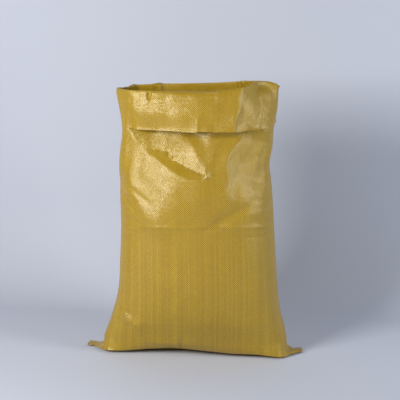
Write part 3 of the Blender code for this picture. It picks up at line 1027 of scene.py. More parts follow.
FRONT_FOLDS = FoldNet(
    Face.FRONT,
    lines={
        # the long valley comes down from the left under the cuff: its lower edge, its bottom, and the ridge
        # over it, which has a kink and ends in a point
        "low start": ((-188, 592), (-166, 566), (-151, 552)),
        "low edge": ((-130, 541), (-93, 525), (-63, 508), (-35, 492)),
        "low end": ((-3, 479), (24, 477)),
        "bottom": (
            (-130, 554), (-100, 551), (-67, 545), (-57, 531), (-33, 522), (-7, 511), (18, 501), (34, 494),
        ),
        "ridge": ((-124, 558), (-99, 554)),
        "kink": ((-64, 547),),
        "ridge on": ((-54, 533), (-32, 524), (-6, 513), (19, 503)),
        "point": ((47, 488),),
        # the crease from the kink up to the cuff
        "up crease": ((-47, 557), (-31, 572), (-20, 585)),
        "up end": ((-10, 597),),
        # the three-cornered facet over the ridge
        "facet top": ((-31, 541), (-17, 557), (-9, 567)),
        "facet right": ((2, 555), (21, 530), (41, 508)),
        # the smooth hollow right of the middle
        "hollow left": ((-4, 577), (16, 552)),
        "hollow low": ((61, 547), (83, 549)),
        "hollow top": ((6, 590), (72, 588), (110, 585)),
        "hollow middle": ((20, 571), (42, 567), (69, 564), (96, 568)),
        "below hollow": ((70, 520),),
        "beside point": ((56, 503), (56, 480)),
        "right of point": ((72, 491),),
        # the curved ridge on the right, and the sunken panel beside it
        "curve top": ((142, 591), (127, 567), (109, 551)),
        "curve": ((98, 531), (93, 511)),
        "curve foot": ((99, 494),),
        "panel foot": ((120, 486), (145, 484), (168, 484), (189, 484)),
        "panel right": ((197, 500), (184, 533), (195, 569)),
        "panel top": ((185, 592),),
        "panel": ((140, 547), (164, 570), (125, 518), (153, 507)),
        "corner": ((210, 596),),
        # between the cuff and the valley
        "over valley": ((-112, 598), (-56, 595)),
        "over middle": ((-84, 568), (-112, 574)),
        # the lit sheet on the left leans back
        "sheet left": ((-168, 535), (-173, 492), (-168, 456), (-149, 421), (-125, 390)),
        "sheet middle": ((-117, 497), (-78, 469), (-104, 440)),
        "sheet turn": ((-40, 476), (-47, 456), (-64, 426), (-84, 397), (-98, 372)),
        "sheet fade": ((-5, 466), (-10, 452), (-28, 424), (-52, 394), (-76, 365)),
        "sheet rest": ((88, 440), (74, 408), (48, 376), (14, 344), (-24, 320)),
        "sheet right": ((38, 447), (16, 424), (-8, 400), (-36, 374), (-64, 350)),
        "behind cuff": ((189, 624), (122, 626), (55, 625), (-1, 624), (-63, 625), (-126, 624), (-179, 613)),
        "smooth": (
            (-196, 599), (-206, 559), (-198, 499), (-189, 430), (-165, 383), (-126, 347), (-94, 318),
            (-48, 330), (-8, 355), (38, 380), (78, 405), (115, 420), (150, 425), (217, 440), (245, 500),
            (249, 557), (239, 596), (212, 653), (119, 660), (55, 660), (0, 660), (-61, 660), (-121, 660),
            (-180, 648),
        ),
    },
    creases=(
        "low start, low edge, low end", "bottom", "ridge, kink, ridge on, point", "kink, up crease, up end",
        "kink, facet top, facet right, point", "curve top, curve, curve foot",
    ),
    facings=(
        Facing("low edge, low end, -bottom", 6, 42, 1.3),
        Facing("ridge, kink, ridge on, point, -bottom", -50, -95, 0.8),
        Facing("sheet turn, -sheet fade", -15, 12, 0.9),
        Facing("sheet fade, -sheet right, -low end", -9, 10, 0.9),
        Facing("low start, low edge, sheet turn, -sheet left", -19, 15, 1.7),
        Facing("sheet right, -sheet rest", 1, 3, 0.9),
        Facing("kink, facet top, facet right, point, -ridge on", -18, 15, 2.6),
        Facing("up crease, up end, hollow left, -facet right, -facet top, kink", 12, 34, 2.6),
        Facing("low start, ridge, kink, up crease, up end, -over valley", 6, 30, 1.2),
        Facing("up end, hollow top, curve top, -hollow low, -hollow left", 16, 26, 1.5),
        Facing("hollow low, curve, below hollow, -facet right", 0, 10, 0.5),
        Facing("beside point, right of point, -curve foot, -curve, below hollow", 2, 4, 0.5),
        Facing("curve top, curve, curve foot, panel foot, panel right, panel top", 36, 3, 0.8),
        Facing("panel top, corner, panel right", 12, -14, 0.4),
    ),
    hanging={"ridge": 2, "kink": 9, "ridge on": 9, "point": 2},
)

CUFF_FOLDS = FoldNet(
    Face.FRONT,
    lines={
        # round the left end, along the rim, and round the right end
        "smooth left": ((-300, 590), (-300, 620), (-300, 655), (-300, 702)),
        "smooth top": ((-240, 702), (-180, 702), (-120, 702), (-60, 702), (0, 702), (60, 702), (120, 703)),
        "smooth end": ((180, 708), (240, 708)),
        "smooth right": ((305, 704), (305, 655), (305, 620), (305, 590)),
        # under the rolled rim
        "rim corner": ((-200, 680),),
        "rim bend": ((-162, 673),),
        "rim patch": ((-122, 671), (-96, 669)),
        "rim middle": ((-50, 681), (0, 682)),
        "rim right": ((60, 683), (112, 684)),
        # the left end, and the bend between it and the front
        "end left": ((-225, 590), (-232, 640), (-238, 684)),
        "bend top": ((-164, 650),),
        "bend": ((-163, 625), (-165, 590)),
        # the bright patch, and the darker band along the edge under it
        "patch foot": ((-150, 637), (-118, 635), (-96, 640)),
        "patch right": ((-97, 655),),
        "band top": ((-66, 636), (-34, 632)),
        "band edge": ((-130, 590), (-80, 590), (-36, 590)),
        # the front, left and right of the curl in its edge
        "curl": ((6, 622), (4, 590)),
        "curl right": ((16, 622), (16, 590)),
        "middle": ((-10, 652), (40, 646), (84, 630)),
        "edge": ((60, 590),),
        # the crease before the right end, from the rim down to the edge
        "turn": ((134, 686), (118, 655), (106, 632), (107, 610), (112, 590)),
        # the right end: a sunken three-cornered facet, with the lit streaks under it
        "sunk": ((146, 683), (232, 684), (224, 666), (172, 650), (150, 660)),
        "streak": ((184, 630), (180, 590)),
        "right edge": ((226, 590), (240, 620), (246, 650), (248, 684)),
    },
    creases=(
        "rim corner, rim bend, rim patch, rim middle, rim right", "rim bend, bend top, bend", "turn",
        "sunk",
    ),
    facings=(
        Facing("smooth top, -rim right, -rim middle, -rim patch, -rim bend, -rim corner", -8, 28, 0.6),
        Facing("end left, rim corner, rim bend, bend top, bend", -46, -4, 0.9),
        Facing("bend top, bend, band edge, -band top, -patch foot", -25, -14, 1.2),
        Facing("bend top, rim bend, rim patch, patch right, -patch foot", -20, 12, 1.4),
        Facing("patch right, rim middle, curl, -band edge, -band top", -10, 7, 0.8),
        Facing("curl right, edge, -turn, -rim right", 3, 5, 0.6),
        Facing("sunk", 34, 22, 0.8),
        Facing("turn, streak, right edge, -sunk", 55, 3, 0.9),
    ),
    crisp_reach=0.005,
)

CUFF_PLEATS = pleats(
    Face.FRONT,
    # the notch under the rim on the left, and the ledge below it
    (((-118, 694), (-121, 671)), -9.0, 3.5),
    (((-132, 671), (-106, 671), (-78, 668)), 0.9, 4),
    # the curl in the edge
    (((9, 628), (12, 606), (8, 590)), 1.3, 4),
    # streaks and small creases at the right end
    (((190, 652), (184, 622), (186, 596)), 1.1, 6),
    (((216, 664), (168, 648), (140, 606)), -1.1, 5),
    (((232, 640), (222, 612), (206, 598)), -0.8, 6),
    (((150, 690), (176, 684), (206, 690)), -2.0, 4),
    (((196, 698), (224, 686), (258, 688)), -2.0, 4),
)

CORNER_FOLDS = FoldNet(
    Face.FRONT,
    lines={
        "smooth": (
            (-222, 142), (-196, 158), (-158, 150), (-126, 126), (-116, 96), (-130, 68), (-165, 60),
            (-200, 74), (-222, 104),
        ),
        # the lit flap over the left corner
        "flap top": ((-204, 134), (-182, 123), (-158, 114)),
        "flap side": ((-152, 92),),
        "flap foot": ((-172, 97), (-192, 110)),
        "over flap": ((-178, 138), (-150, 128)),
        "under flap": ((-170, 80), (-140, 84)),
    },
    creases=("flap top, flap side", "flap foot"),
    facings=(
        Facing("flap top, flap side, flap foot", -22, 13, 1.2),
        Facing("flap side, flap foot, under flap", -34, -20, 0.6),
    ),
    crisp_reach=0.006,
)

PLEATS = pleats(
    Face.FRONT,
    # the raised side of the lit flap over the left corner
    (((-198, 130), (-178, 113), (-157, 96)), 5.0, 11),
    # small creases on the left, where the sheen ends
    (((-186, 462), (-150, 441), (-105, 414)), -2.2, 6),
    (((-196, 424), (-165, 404), (-136, 386)), -2.0, 6),
    (((-200, 402), (-172, 396), (-150, 374)), 1.4, 6),
    # level creases over the right-hand edge
    (((150, 428), (190, 424), (232, 430)), -1.4, 6),
    (((140, 392), (180, 386), (236, 392)), 1.2, 6),
    (((126, 338), (180, 330), (240, 336)), -1.2, 6),
    # the fold in which the empty sack was packed
    (((-221, 343), (-108, 360), (22, 364), (111, 362), (231, 353)), 2.2, 4),
    # tucks along the foot
    (((-222, 62), (-206, 30), (-203, 14)), -2.4, 6),
    (((-30, 56), (-29, 34), (-31, 14)), -2.6, 6),
    (((247, 60), (246, 30), (250, 14)), -2.2, 6),
    (((-246, 34), (-230, 20), (-208, 12)), -2.4, 5),
    (((-240, 24), (-226, 10), (-212, 4)), 1.8, 5),
    (((226, 40), (236, 22), (232, 8)), 1.8, 5),
)

# the two kinks of the back rim run down inside
RIM_PLEATS = pleats(
    Face.BACK, (((114, 700), (112, 676), (106, 640)), -6.0, 6), (((187, 700), (184, 660)), -4.0, 6)
)


def side_pleats(count: int = 44, right_share: float = 0.55, seed: int = 23) -> tuple[Pleat, ...]:
    """Small level creases where the cloth turns round the two sides, drawn by a fixed seed.

    Args:
        count: How many there are.
        right_share: The chance of each to lie on the right.
        seed: The seed.

    Returns:
        The pleats.
    """
    dice = np.random.default_rng(seed)
    # where each side turns, and its lowest and highest pleat
    right, left = (205, 190, 480), (-212, 330, 470)
    drawn = []
    for _ in range(count):
        turn, lowest, highest = right if dice.random() < right_share else left
        start, height = turn + dice.uniform(-45, 25), dice.uniform(lowest, highest)
        length, slope = dice.uniform(30, 70), dice.uniform(-8, 8)
        middle, end = (start + length / 2, height + slope), (start + length, height + 1.6 * slope)
        path = ((start, height), middle, end)
        drawn.append((path, dice.choice((-1, 1)) * dice.uniform(0.5, 1.1), dice.uniform(4, 6)))
    return pleats(Face.FRONT, *drawn)


@dataclass(frozen=True)
class Settling:
    """Lets the cloth take up its own shape. The tapes keep their lengths, the weave resists shear a little.

    It is a plain relaxation of the cloth's grid: each round moves neighbours to their distance along the
    tapes, then draws the cloth a little towards the shape that it was given.
    """

    rounds: int = 200
    stretch: float = 0.9
    shear: float = 0.12
    bend: float = 0.01

    @staticmethod
    def _step(first: np.ndarray, second: np.ndarray, rest: np.ndarray, share: float) -> np.ndarray:
        """How far the first of each pair of points moves towards the second.

        Args:
            first: The first points.
            second: The second points.
            rest: Their resting distances.
            share: The share of the way that is made good.

        Returns:
            The moves.
        """
        gap = second - first
        length = np.linalg.norm(gap, axis=-1)
        return gap * (0.5 * share * (1 - rest / np.maximum(length, 1e-9)))[..., None]

    def _pull(self, first: np.ndarray, second: np.ndarray, rest: np.ndarray) -> None:
        """Moves pairs of points along the lines between them, towards their resting distances.

        Args:
            first: The first points, which it moves.
            second: The second points, which it moves.
            rest: Their resting distances.
        """
        step = self._step(first, second, rest, self.stretch)
        first += step
        second -= step

    def _tapes(self, rows: np.ndarray, across: np.ndarray, along: np.ndarray) -> None:
        """One pass over the lengths of the tapes, every second pair at a time.

        Args:
            rows: The cloth, which it moves.
            across: The resting lengths to the next column.
            along: The resting lengths to the next row.
        """
        self._pull(rows[:, 0::2], rows[:, 1::2], across[:, 0::2])
        rolled = np.roll(rows, -1, axis=1)
        self._pull(rolled[:, 0::2], rolled[:, 1::2], across[:, 1::2])
        rows[:] = np.roll(rolled, 1, axis=1)
        for start in (0, 1):
            self._pull(rows[start:-1:2], rows[start + 1 :: 2], along[start::2])

    def _weave(self, rows: np.ndarray, across: np.ndarray, along: np.ndarray) -> None:
        """One pass over the diagonals of the weave and its bends.

        Args:
            rows: The cloth, which it moves.
            across: The resting lengths to the next column.
            along: The resting lengths to the next row.
        """
        diagonal = np.hypot((across[:-1] + across[1:]) / 2, (along + np.roll(along, -1, axis=1)) / 2)
        move = np.zeros_like(rows)
        for way in (1, -1):
            other = np.roll(rows, -way, axis=1)[1:]
            rest = diagonal if way == 1 else np.roll(diagonal, 1, axis=1)
            step = self._step(rows[:-1], other, rest, self.shear)
            move[:-1] += step
            move[1:] -= np.roll(step, way, axis=1)
        bow = (np.roll(rows, 1, axis=1) + np.roll(rows, -1, axis=1)) / 2 - rows
        move += self.bend * (bow - (np.roll(bow, 1, axis=1) + np.roll(bow, -1, axis=1)) / 2)
        bow = np.zeros_like(rows)
        bow[1:-1] = (rows[:-2] + rows[2:]) / 2 - rows[1:-1]
        move += self.bend * bow
        move[:-1] -= self.bend * bow[1:] / 2
        move[1:] -= self.bend * bow[:-1] / 2
        rows += move

    def run(
        self,
        rows: np.ndarray,
        lengths: tuple[np.ndarray, np.ndarray],
        hold: np.ndarray,
        keep_apart: Callable[[np.ndarray], None],
    ) -> np.ndarray:
        """Settles the cloth.

        Args:
            rows: The cloth as it is given, rows by columns by 3.
            lengths: The resting lengths across, to the next column, and along, to the next row.
            hold: How firmly each point is held to where it was given, from 0 to 1.
            keep_apart: Moves points out of what they must not enter.

        Returns:
            The settled cloth.
        """
        given, rows = rows, rows.copy()
        across, along = lengths
        for _ in range(self.rounds):
            self._tapes(rows, across, along)
            self._weave(rows, across, along)
            rows += (given - rows) * hold[..., None]
            keep_apart(rows)
        return rows


@dataclass
class SackCloth:
    """The woven tube: bottom, wall, the fold at the rim and the cuff, as one grid of points."""

    form: SackForm = field(default_factory=SackForm)
    finish: WovenTape = field(default_factory=WovenTape)
    flat_length: float = 0.90
    foot_steps: int = 9
    low_step: float = 0.0056
    high_step: float = 0.0040
    step_change: float = 0.335
    mouth_base: float = 0.585
    mouth_fade: float = 1.4
    rim_margin: float = 0.004
    rim_rows: int = 4
    rim_fullness: float = 1.6
    cuff_spread: float = 1.04
    slack_low: float = 0.002
    slack_high: float = 0.008
    slack_along: float = 0.006
    slack_heights: tuple[float, float] = (0.36, 0.56)
    as_given: float = 0.8
    hold_low: float = 0.30
    hold_high: float = 0.05
    hold_cuff: float = 0.06
    hold_heights: tuple[float, float] = (0.33, 0.54)
    cuff_gap: float = 0.0030
    cuff_gap_at_ends: float = 0.6
    cuff_gives: float = 0.7
    cuff_flare: float = 0.005
    cuff_lip: float = 0.0024
    lip_curve: int = 12
    lip_more: float = 1.2
    lip_end: tuple[float, float] = (0.24, 0.03)
    gap_more: float = 1.6
    gap_end: tuple[float, float] = (0.26, 0.04)
    end_start: float = 0.26
    end_ease: float = 0.08
    right_end: float = 0.12
    right_ease: float = 0.04
    unevenness: float = 0.0006
    uneven_rounds: int = 14
    uneven_low: float = 0.15
    seed: int = 7
    bake_margin: float = 0.004
    soft_rounds: int = 8
    cuff_soft_rounds: int = 4
    sharp_angle: float = 48.0
    name: str = "woven_sack_cloth"

    def wall_heights(self) -> np.ndarray:
        """Heights of the wall's rows, closer together above `step_change`, where the cloth is creased.

        Returns:
            The heights, from the shoulder up to the rim.
        """
        start = self.form.shoulder_height
        top = self.form.rim_height - self.rim_margin
        low = np.arange(start + self.low_step, self.step_change, self.low_step)
        count = int(round((top - low[-1]) / self.high_step))
        return np.concatenate([low, np.linspace(low[-1], top, count + 1)[1:]])

    def lay_out(self) -> None:
        """Lays the rows of the smooth cloth, from the seam up the wall, over the rim and down the cuff."""
        form, heights = self.form, self.wall_heights()
        base = form.base_rows(self.foot_steps)
        wall = [form.wall_row(height) for height in heights]
        top = wall[-1]
        inward = inward_normals(top[:, :2])
        fold = []
        for angle in np.linspace(0, math.pi, self.rim_rows + 2)[1:-1]:
            ring = top[:, :2] - inward * form.fold_radius * (1 - math.cos(angle))
            rise = self.rim_fullness * form.fold_radius * math.sin(angle)
            fold.append(np.column_stack([ring, top[:, 2] + rise]))
        cuff = []
        front = self.flatness()[:, None]
        for drop in np.arange(0, form.cuff_drop, self.high_step * self.cuff_spread):
            under = form.wall_row(heights[-1] - drop)
            out = 2 * form.fold_radius + self.cuff_flare * (drop / form.cuff_drop) ** 2 * front
            cuff.append(np.column_stack([under[:, :2] - inward_normals(under[:, :2]) * out, under[:, 2]]))
        self.rows = np.array([*base, *wall, *fold, *cuff])
        self.wall_end = len(base) + len(wall) - 1
        self.cuff_start = self.wall_end + len(fold) + 1
        steps = np.linalg.norm(np.diff(self.rows, axis=0), axis=2).mean(axis=1)
        self.lengths = np.concatenate([[0.0], np.cumsum(steps)])

    def flatness(self) -> np.ndarray:
        """1 on the columns of the front and the back, falling to 0 round the two ends."""
        return eased((self.end_start - np.abs(self.form.seam_x)) / self.end_ease)

    def before_right_end(self, along: np.ndarray, last: float, ease: float) -> np.ndarray:
        """1 on the stretch before the right end, falling to 0 towards the middle and at `last`."""
        rise = np.clip((along - self.right_end) / self.right_ease, 0, 1)
        return rise * np.clip((last - along) / ease, 0, 1)

    def outward(self) -> np.ndarray:
        """Unit vectors out of the cloth at each of its points.

        Returns:
            The vectors, rows by columns by 3.
        """
        up = np.gradient(self.rows, axis=0)
        along = np.roll(self.rows, -1, axis=1) - np.roll(self.rows, 1, axis=1)
        normal = np.cross(along, up)
        return normal / np.linalg.norm(normal, axis=2)[:, :, None]

    def shape_mouth(self) -> None:
        """Draws the rim to its plan. The cloth below follows it less and less, down to the waist."""
        rim = self.rows[self.wall_end]
        girth = np.array([face.girth(point[0] / MM) for face, run in MOUTH.items() for point in run])
        girth %= self.form.girth
        order = np.argsort(girth)
        plan = np.array([point[1:] for run in MOUTH.values() for point in run])[order] / MM
        wanted = np.column_stack(
            [np.interp(self.form.places, girth[order], row, period=self.form.girth) for row in plan.T]
        )
        shift = np.column_stack([wanted[:, :2] - rim[:, :2], wanted[:, 2]])
        shift = soften(shift[None])[0]
        height = self.rows[:, :, 2]
        reach = np.clip((height - self.mouth_base) / (self.form.rim_height - self.mouth_base), 0, 1)
        reach **= self.mouth_fade
        reach[: self.form.ear_steps + 1] = 0
        self.rows += reach[:, :, None] * shift[None]

    def crumple(self) -> None:
        """Draws the wall into its facets and pushes it in and out along its lesser creases."""
        part = slice(self.form.ear_steps + 1, self.wall_end + 1)
        wall = Wall(self.rows[part], self.outward()[part], self.form.places, self.form.girth)
        creases = (*PLEATS, *RIM_PLEATS, *side_pleats())
        self.rows[part] = self.fold(wall, (FRONT_FOLDS, CORNER_FOLDS), creases, self.soft_rounds)

    @staticmethod
    def fold(wall: Wall, nets: Sequence[FoldNet], creases: Sequence[Pleat], soft_rounds: int) -> np.ndarray:
        """Draws a wall into its nets' facets and pushes it along its pleats.

        Args:
            wall: The wall.
            nets: The nets.
            creases: The pleats.
            soft_rounds: How often the facets are softened, but for their creases.

        Returns:
            The wall's new rows.
        """
        rows = wall.rows.copy()
        for net in nets:
            folded = net.flatten(wall) - wall.rows
            soft = folded
            for _ in range(soft_rounds):
                soft = soften(soft)
            rows += soft + net.crispness(wall)[:, :, None] * (folded - soft)
        return rows + wall.out * sum(pleat.push(wall) for pleat in creases)[:, :, None]

    def shape_cuff(self) -> None:
        """Draws the cuff into its own facets, turns its edge out and lets it rise and fall."""
        rows, out = self.rows[self.cuff_start :][::-1], -self.outward()[self.cuff_start :][::-1]
        wall = Wall(rows, out, self.form.places, self.form.girth)
        offset, drop = np.array(CUFF_EDGE).T / MM
        down = np.linspace(1, 0, len(rows))[:, None]
        rows = self.fold(wall, (CUFF_FOLDS,), CUFF_PLEATS, self.cuff_soft_rounds)
        along = wall.offset(Face.FRONT)
        lip = self.cuff_lip * (1 + self.lip_more * self.before_right_end(along, *self.lip_end))
        rows += wall.out * (lip * down**self.lip_curve)[:, :, None]
        rows[:, :, 2] -= down**2 * np.interp(along, offset, drop)
        self.rows[self.cuff_start :] = rows[::-1]

    def ramp(self, low: float, high: float) -> np.ndarray:
        """0 for rows up to the height `low`, rising to 1 for rows from `high` up, and on the cuff.

        Args:
            low: The height at which it starts.
            high: The height at which it ends.

        Returns:
            The value for each row.
        """
        height = self.rows[:, :, 2].mean(axis=1)
        height[self.wall_end :] = self.form.rim_height
        return eased((height - low) / (high - low))

    def rest_lengths(self, smooth: np.ndarray) -> tuple[np.ndarray, np.ndarray]:
        """The tapes' lengths between grid points: those of the given shape, a little more where it's slack.

        Args:
            smooth: The cloth before any crease.

        Returns:
            The lengths to the next column and to the next row.
        """
        loose = self.ramp(*self.slack_heights)
        smooth = smooth + self.as_given * (self.rows - smooth)
        across = np.linalg.norm(np.roll(smooth, -1, axis=1) - smooth, axis=2)
        across *= 1 + (self.slack_low + (self.slack_high - self.slack_low) * loose)[:, None]
        along = np.linalg.norm(np.diff(smooth, axis=0), axis=2)
        extra = self.slack_low + (self.slack_along - self.slack_low) * loose
        along *= 1 + extra[:-1, None]
        return across, along

    def keep_apart(self, rows: np.ndarray) -> None:
        """Keeps the cuff outside the wall behind it, and the cloth above the floor.

        Args:
            rows: The cloth, which it moves.
        """
        count = rows.shape[0] - self.cuff_start
        behind = rows[self.wall_end - count + 1 : self.wall_end + 1][::-1]
        cuff = rows[self.cuff_start :]
        out = np.cross(np.roll(behind, -1, axis=1) - np.roll(behind, 1, axis=1), (0.0, 0.0, 1.0))
        out /= np.linalg.norm(out, axis=2)[:, :, None]
        ends = self.cuff_gap_at_ends
        gap = self.cuff_gap * (ends + (1 - ends) * self.flatness())
        gap = gap * (1 + self.gap_more * self.before_right_end(self.form.seam_x, *self.gap_end))
        short = gap - ((cuff - behind) * out).sum(axis=2)
        push = np.maximum(short, 0)[..., None] * out
        cuff += self.cuff_gives * push
        behind -= (1 - self.cuff_gives) * push
        np.maximum(rows[:, :, 2], FLOOR, out=rows[:, :, 2])

    def settle(self, smooth: np.ndarray) -> None:
        """Lets the cloth settle from its given shape.

        Args:
            smooth: The cloth before any crease.
        """
        loose = self.ramp(*self.hold_heights)
        bottom = slice(self.form.ear_steps + 1)
        firm = self.hold_low + (self.hold_high - self.hold_low) * loose
        hold = np.repeat(firm[:, None], self.rows.shape[1], axis=1)
        hold[bottom] = 1.0
        hold[self.cuff_start :] = self.hold_cuff
        waves = np.random.default_rng(self.seed).normal(size=self.rows.shape[:2])
        for _ in range(self.uneven_rounds):
            waves = soften(waves)
        waves *= self.unevenness / waves.std()
        waves *= self.uneven_low + (1 - self.uneven_low) * loose[:, None]
        start = self.rows + self.outward() * waves[..., None]
        start[bottom] = self.rows[bottom]
        self.rows = Settling().run(start, self.rest_lengths(smooth), hold, self.keep_apart)

    def mesh(self) -> bpy.types.Object:
        """Turns the rows into a mesh with its two maps: the cloth's own, and one for baking.

        Returns:
            The cloth's object.
        """
        rows, columns = self.rows.shape[:2]
        points = self.rows.reshape(-1, 3).tolist()
        cloth = add_piece(self.name, points, tube_faces(rows, columns), self.finish.material())
        across, up = np.append(self.form.places, self.form.girth), self.lengths
        u = np.stack([across[:-1], across[1:], across[1:], across[:-1]], axis=-1)[None]
        v = np.stack([up[:-1], up[:-1], up[1:], up[1:]], axis=-1)[:, None]
        place = np.stack(np.broadcast_arrays(u, v), axis=-1).reshape(-1, 2)
        add_map(cloth, self.finish.uv, place)
        share = place / (self.form.girth, self.lengths[-1])
        add_map(cloth, "OFBake", self.bake_margin + (1 - 2 * self.bake_margin) * share)
        cloth.data.set_sharp_from_angle(angle=math.radians(self.sharp_angle))
        return cloth

    def build(self) -> bpy.types.Object:
        """Returns:
            The cloth's object.
        """
        self.lay_out()
        smooth = self.rows.copy()
        self.shape_mouth()
        self.crumple()
        self.shape_cuff()
        self.settle(smooth)
        cloth = self.mesh()
        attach(cloth, "root")
        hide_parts("woven_sack")
        return cloth


@dataclass
class BottomHem:
    """The cloth beyond the bottom seam: two layers, sewn together, flat under the sack and frayed."""

    form: SackForm
    finish: WovenTape
    left: float = -0.2835
    right: float = 0.2755
    start: float = 0.0004  # behind the seam
    width: float = 0.025
    ply: float = 0.00055
    under: float = 0.0010
    step: float = 0.005
    fray: float = 0.0045
    sag: float = 0.0003
    tip_twist: float = 0.14
    twist_from: float = 0.235
    twist_ease: float = 0.045
    fray_spots: tuple[float, ...] = (-0.2, 0.3, 0.65, 1.0)
    fray_sides: tuple[float, float] = (0.12, 0.88)
    lowest: float = 0.0003
    seed: int = 11
    name: str = "bottom_hem"

    def height(self, x: np.ndarray | float) -> np.ndarray:
        """The height of the hem's underside along the seam."""
        half = self.form.flat_width / 2
        return self.form.seam_height(np.clip(x, -half, half)) - self.under - 2 * self.ply

    def build(self) -> bpy.types.Object:
        """Builds the hem and dresses it.

        Returns:
            The hem's object.
        """
        dice = np.random.default_rng(self.seed)
        tape = self.finish.tape
        across = np.arange(0, self.width + tape / 2, tape)
        along = np.linspace(self.left, self.right, int((self.right - self.left) / self.step))
        verts: list[Point] = []
        for x in along:
            low = float(self.height(x))
            bow = self.sag * np.sin(across / self.width * math.pi)
            bow += across * self.tip_twist * max(0.0, (abs(x) - self.twist_from) / self.twist_ease)
            under = [(x, y, low + b) for y, b in zip(self.start + across, bow)]
            verts += under + [(x, y, z + 2 * self.ply) for x, y, z in under[::-1]]
        faces = tube_faces(len(along), 2 * len(across))
        for x, way in ((self.left, -1), (self.right, 1)):
            for layer in (0.0, 2 * self.ply):
                for y in across[:-1]:
                    root = (x, self.start + y, float(self.height(x)) + layer)
                    self.fray_tape(verts, faces, root, way, dice)
        hem = add_piece(self.name, verts, faces, self.finish.material())
        flat = np.array(verts)[[loop.vertex_index for loop in hem.data.loops], :2] + 1.0
        add_map(hem, self.finish.uv, flat)
        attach(hem, "root")
        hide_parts("woven_sack")
        return hem

    def fray_tape(
        self, verts: list[Point], faces: list[list[int]], root: Point, way: int, dice: np.random.Generator
    ) -> None:
        """Adds one loose end of a tape, which curls a little up or down.

        Args:
            verts: The hem's points, which it adds to.
            faces: The hem's faces, which it adds to.
            root: Where the tape leaves the hem.
            way: 1 to the right, -1 to the left.
            dice: The source of its shape.
        """
        x, y, z = root
        length = self.fray * dice.uniform(0.25, 1.0)
        lean, curl = dice.uniform(-0.3, 0.3), dice.uniform(-0.35, 0.6)
        first = len(verts)
        for t in self.fray_spots:
            reach = length * t
            rise = curl * length * max(t, 0.0) ** 2
            for side in self.fray_sides:
                across = y + self.finish.tape * side + lean * max(reach, 0.0)
                verts.append((x + way * reach, across, max(z + rise, self.lowest)))
        faces += [[first + 2 * i + k for k in (0, 1, 3, 2)] for i in range(3)]


@dataclass
class SeamThread:
    """The bottom's chain stitches: one strand over the hem, a pair under it, and a tail at each end."""

    hem: BottomHem
    finish: SpunThread = field(default_factory=SpunThread)
    radius: float = 0.00036
    stitch: float = 0.0072
    inset: float = 0.0030
    first_stitch: float = 0.0015
    stitch_share: float = 0.97  # of the pitch
    bow_rate: float = 5.0
    over: float = 2.2  # in radii, as are the next three
    under: float = 2.0
    under_start: float = 1.2
    pair: float = 1.3
    tail: float = 0.014
    tail_twist: float = 19.0
    tail_drift: float = 0.004
    tail_start: float = -0.1
    tail_drop: float = 0.85
    tail_curve: float = 1.5
    sides: int = 6
    name: str = "seam_stitches"

    def strands(self) -> list[np.ndarray]:
        """The strands' centre lines.

        Returns:
            The lines, as points.
        """
        lines = []
        t = np.linspace(0, 1, 7)
        bow = np.minimum(1.0, self.bow_rate * np.minimum(t, 1 - t))
        for i in range(int((self.hem.right - self.hem.left) / self.stitch)):
            x = self.hem.left + self.first_stitch + (i + t * self.stitch_share) * self.stitch
            low = self.hem.height(x)
            top = low + 2 * self.hem.ply + self.radius * (self.over * bow - 1.0)
            lines.append(np.column_stack([x, np.full(len(t), self.inset), top]))
            under = np.maximum(low - self.radius * (self.under * bow - self.under_start), self.radius)
            for side in (-1, 1):
                y = self.inset + side * self.radius * self.pair * np.sin(t * math.pi)
                lines.append(np.column_stack([x, y, under]))
        t = np.linspace(self.tail_start, 1, 14)
        for x, way in ((self.hem.left, -1), (self.hem.right, 1)):
            drop = float(self.hem.height(x)) * (1 - self.tail_drop * np.clip(t, 0, 1) ** self.tail_curve)
            for side in (-self.radius, self.radius):
                y = self.inset + side * np.cos(t * self.tail_twist) + self.tail_drift * t**2
                z = drop + self.radius + side * np.sin(t * self.tail_twist)
                lines.append(np.column_stack([x + way * t * self.tail, y, z]))
        return lines

    def build(self) -> bpy.types.Object:
        """Builds the stitches and dresses them.

        Returns:
            The stitches' object.
        """
        verts: list[np.ndarray] = []
        faces: list[Sequence[int]] = []
        turns = np.linspace(0, 2 * math.pi, self.sides, endpoint=False)
        for line in self.strands():
            first = len(verts)
            ahead = np.gradient(line, axis=0)
            ahead /= np.linalg.norm(ahead, axis=1)[:, None]
            side = np.cross(ahead, (0.0, 0.0, 1.0))
            side /= np.linalg.norm(side, axis=1)[:, None]
            up = np.cross(side, ahead)
            for point, a, b in zip(line, side, up):
                verts += [point + self.radius * (math.cos(turn) * a + math.sin(turn) * b) for turn in turns]
            faces += tube_faces(len(line), self.sides, first)
            last = first + (len(line) - 1) * self.sides
            faces += [range(first + self.sides - 1, first - 1, -1), range(last, last + self.sides)]
        thread = add_piece(self.name, verts, faces, self.finish.material())
        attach(thread, "root")
        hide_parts("seam_thread")
        return thread


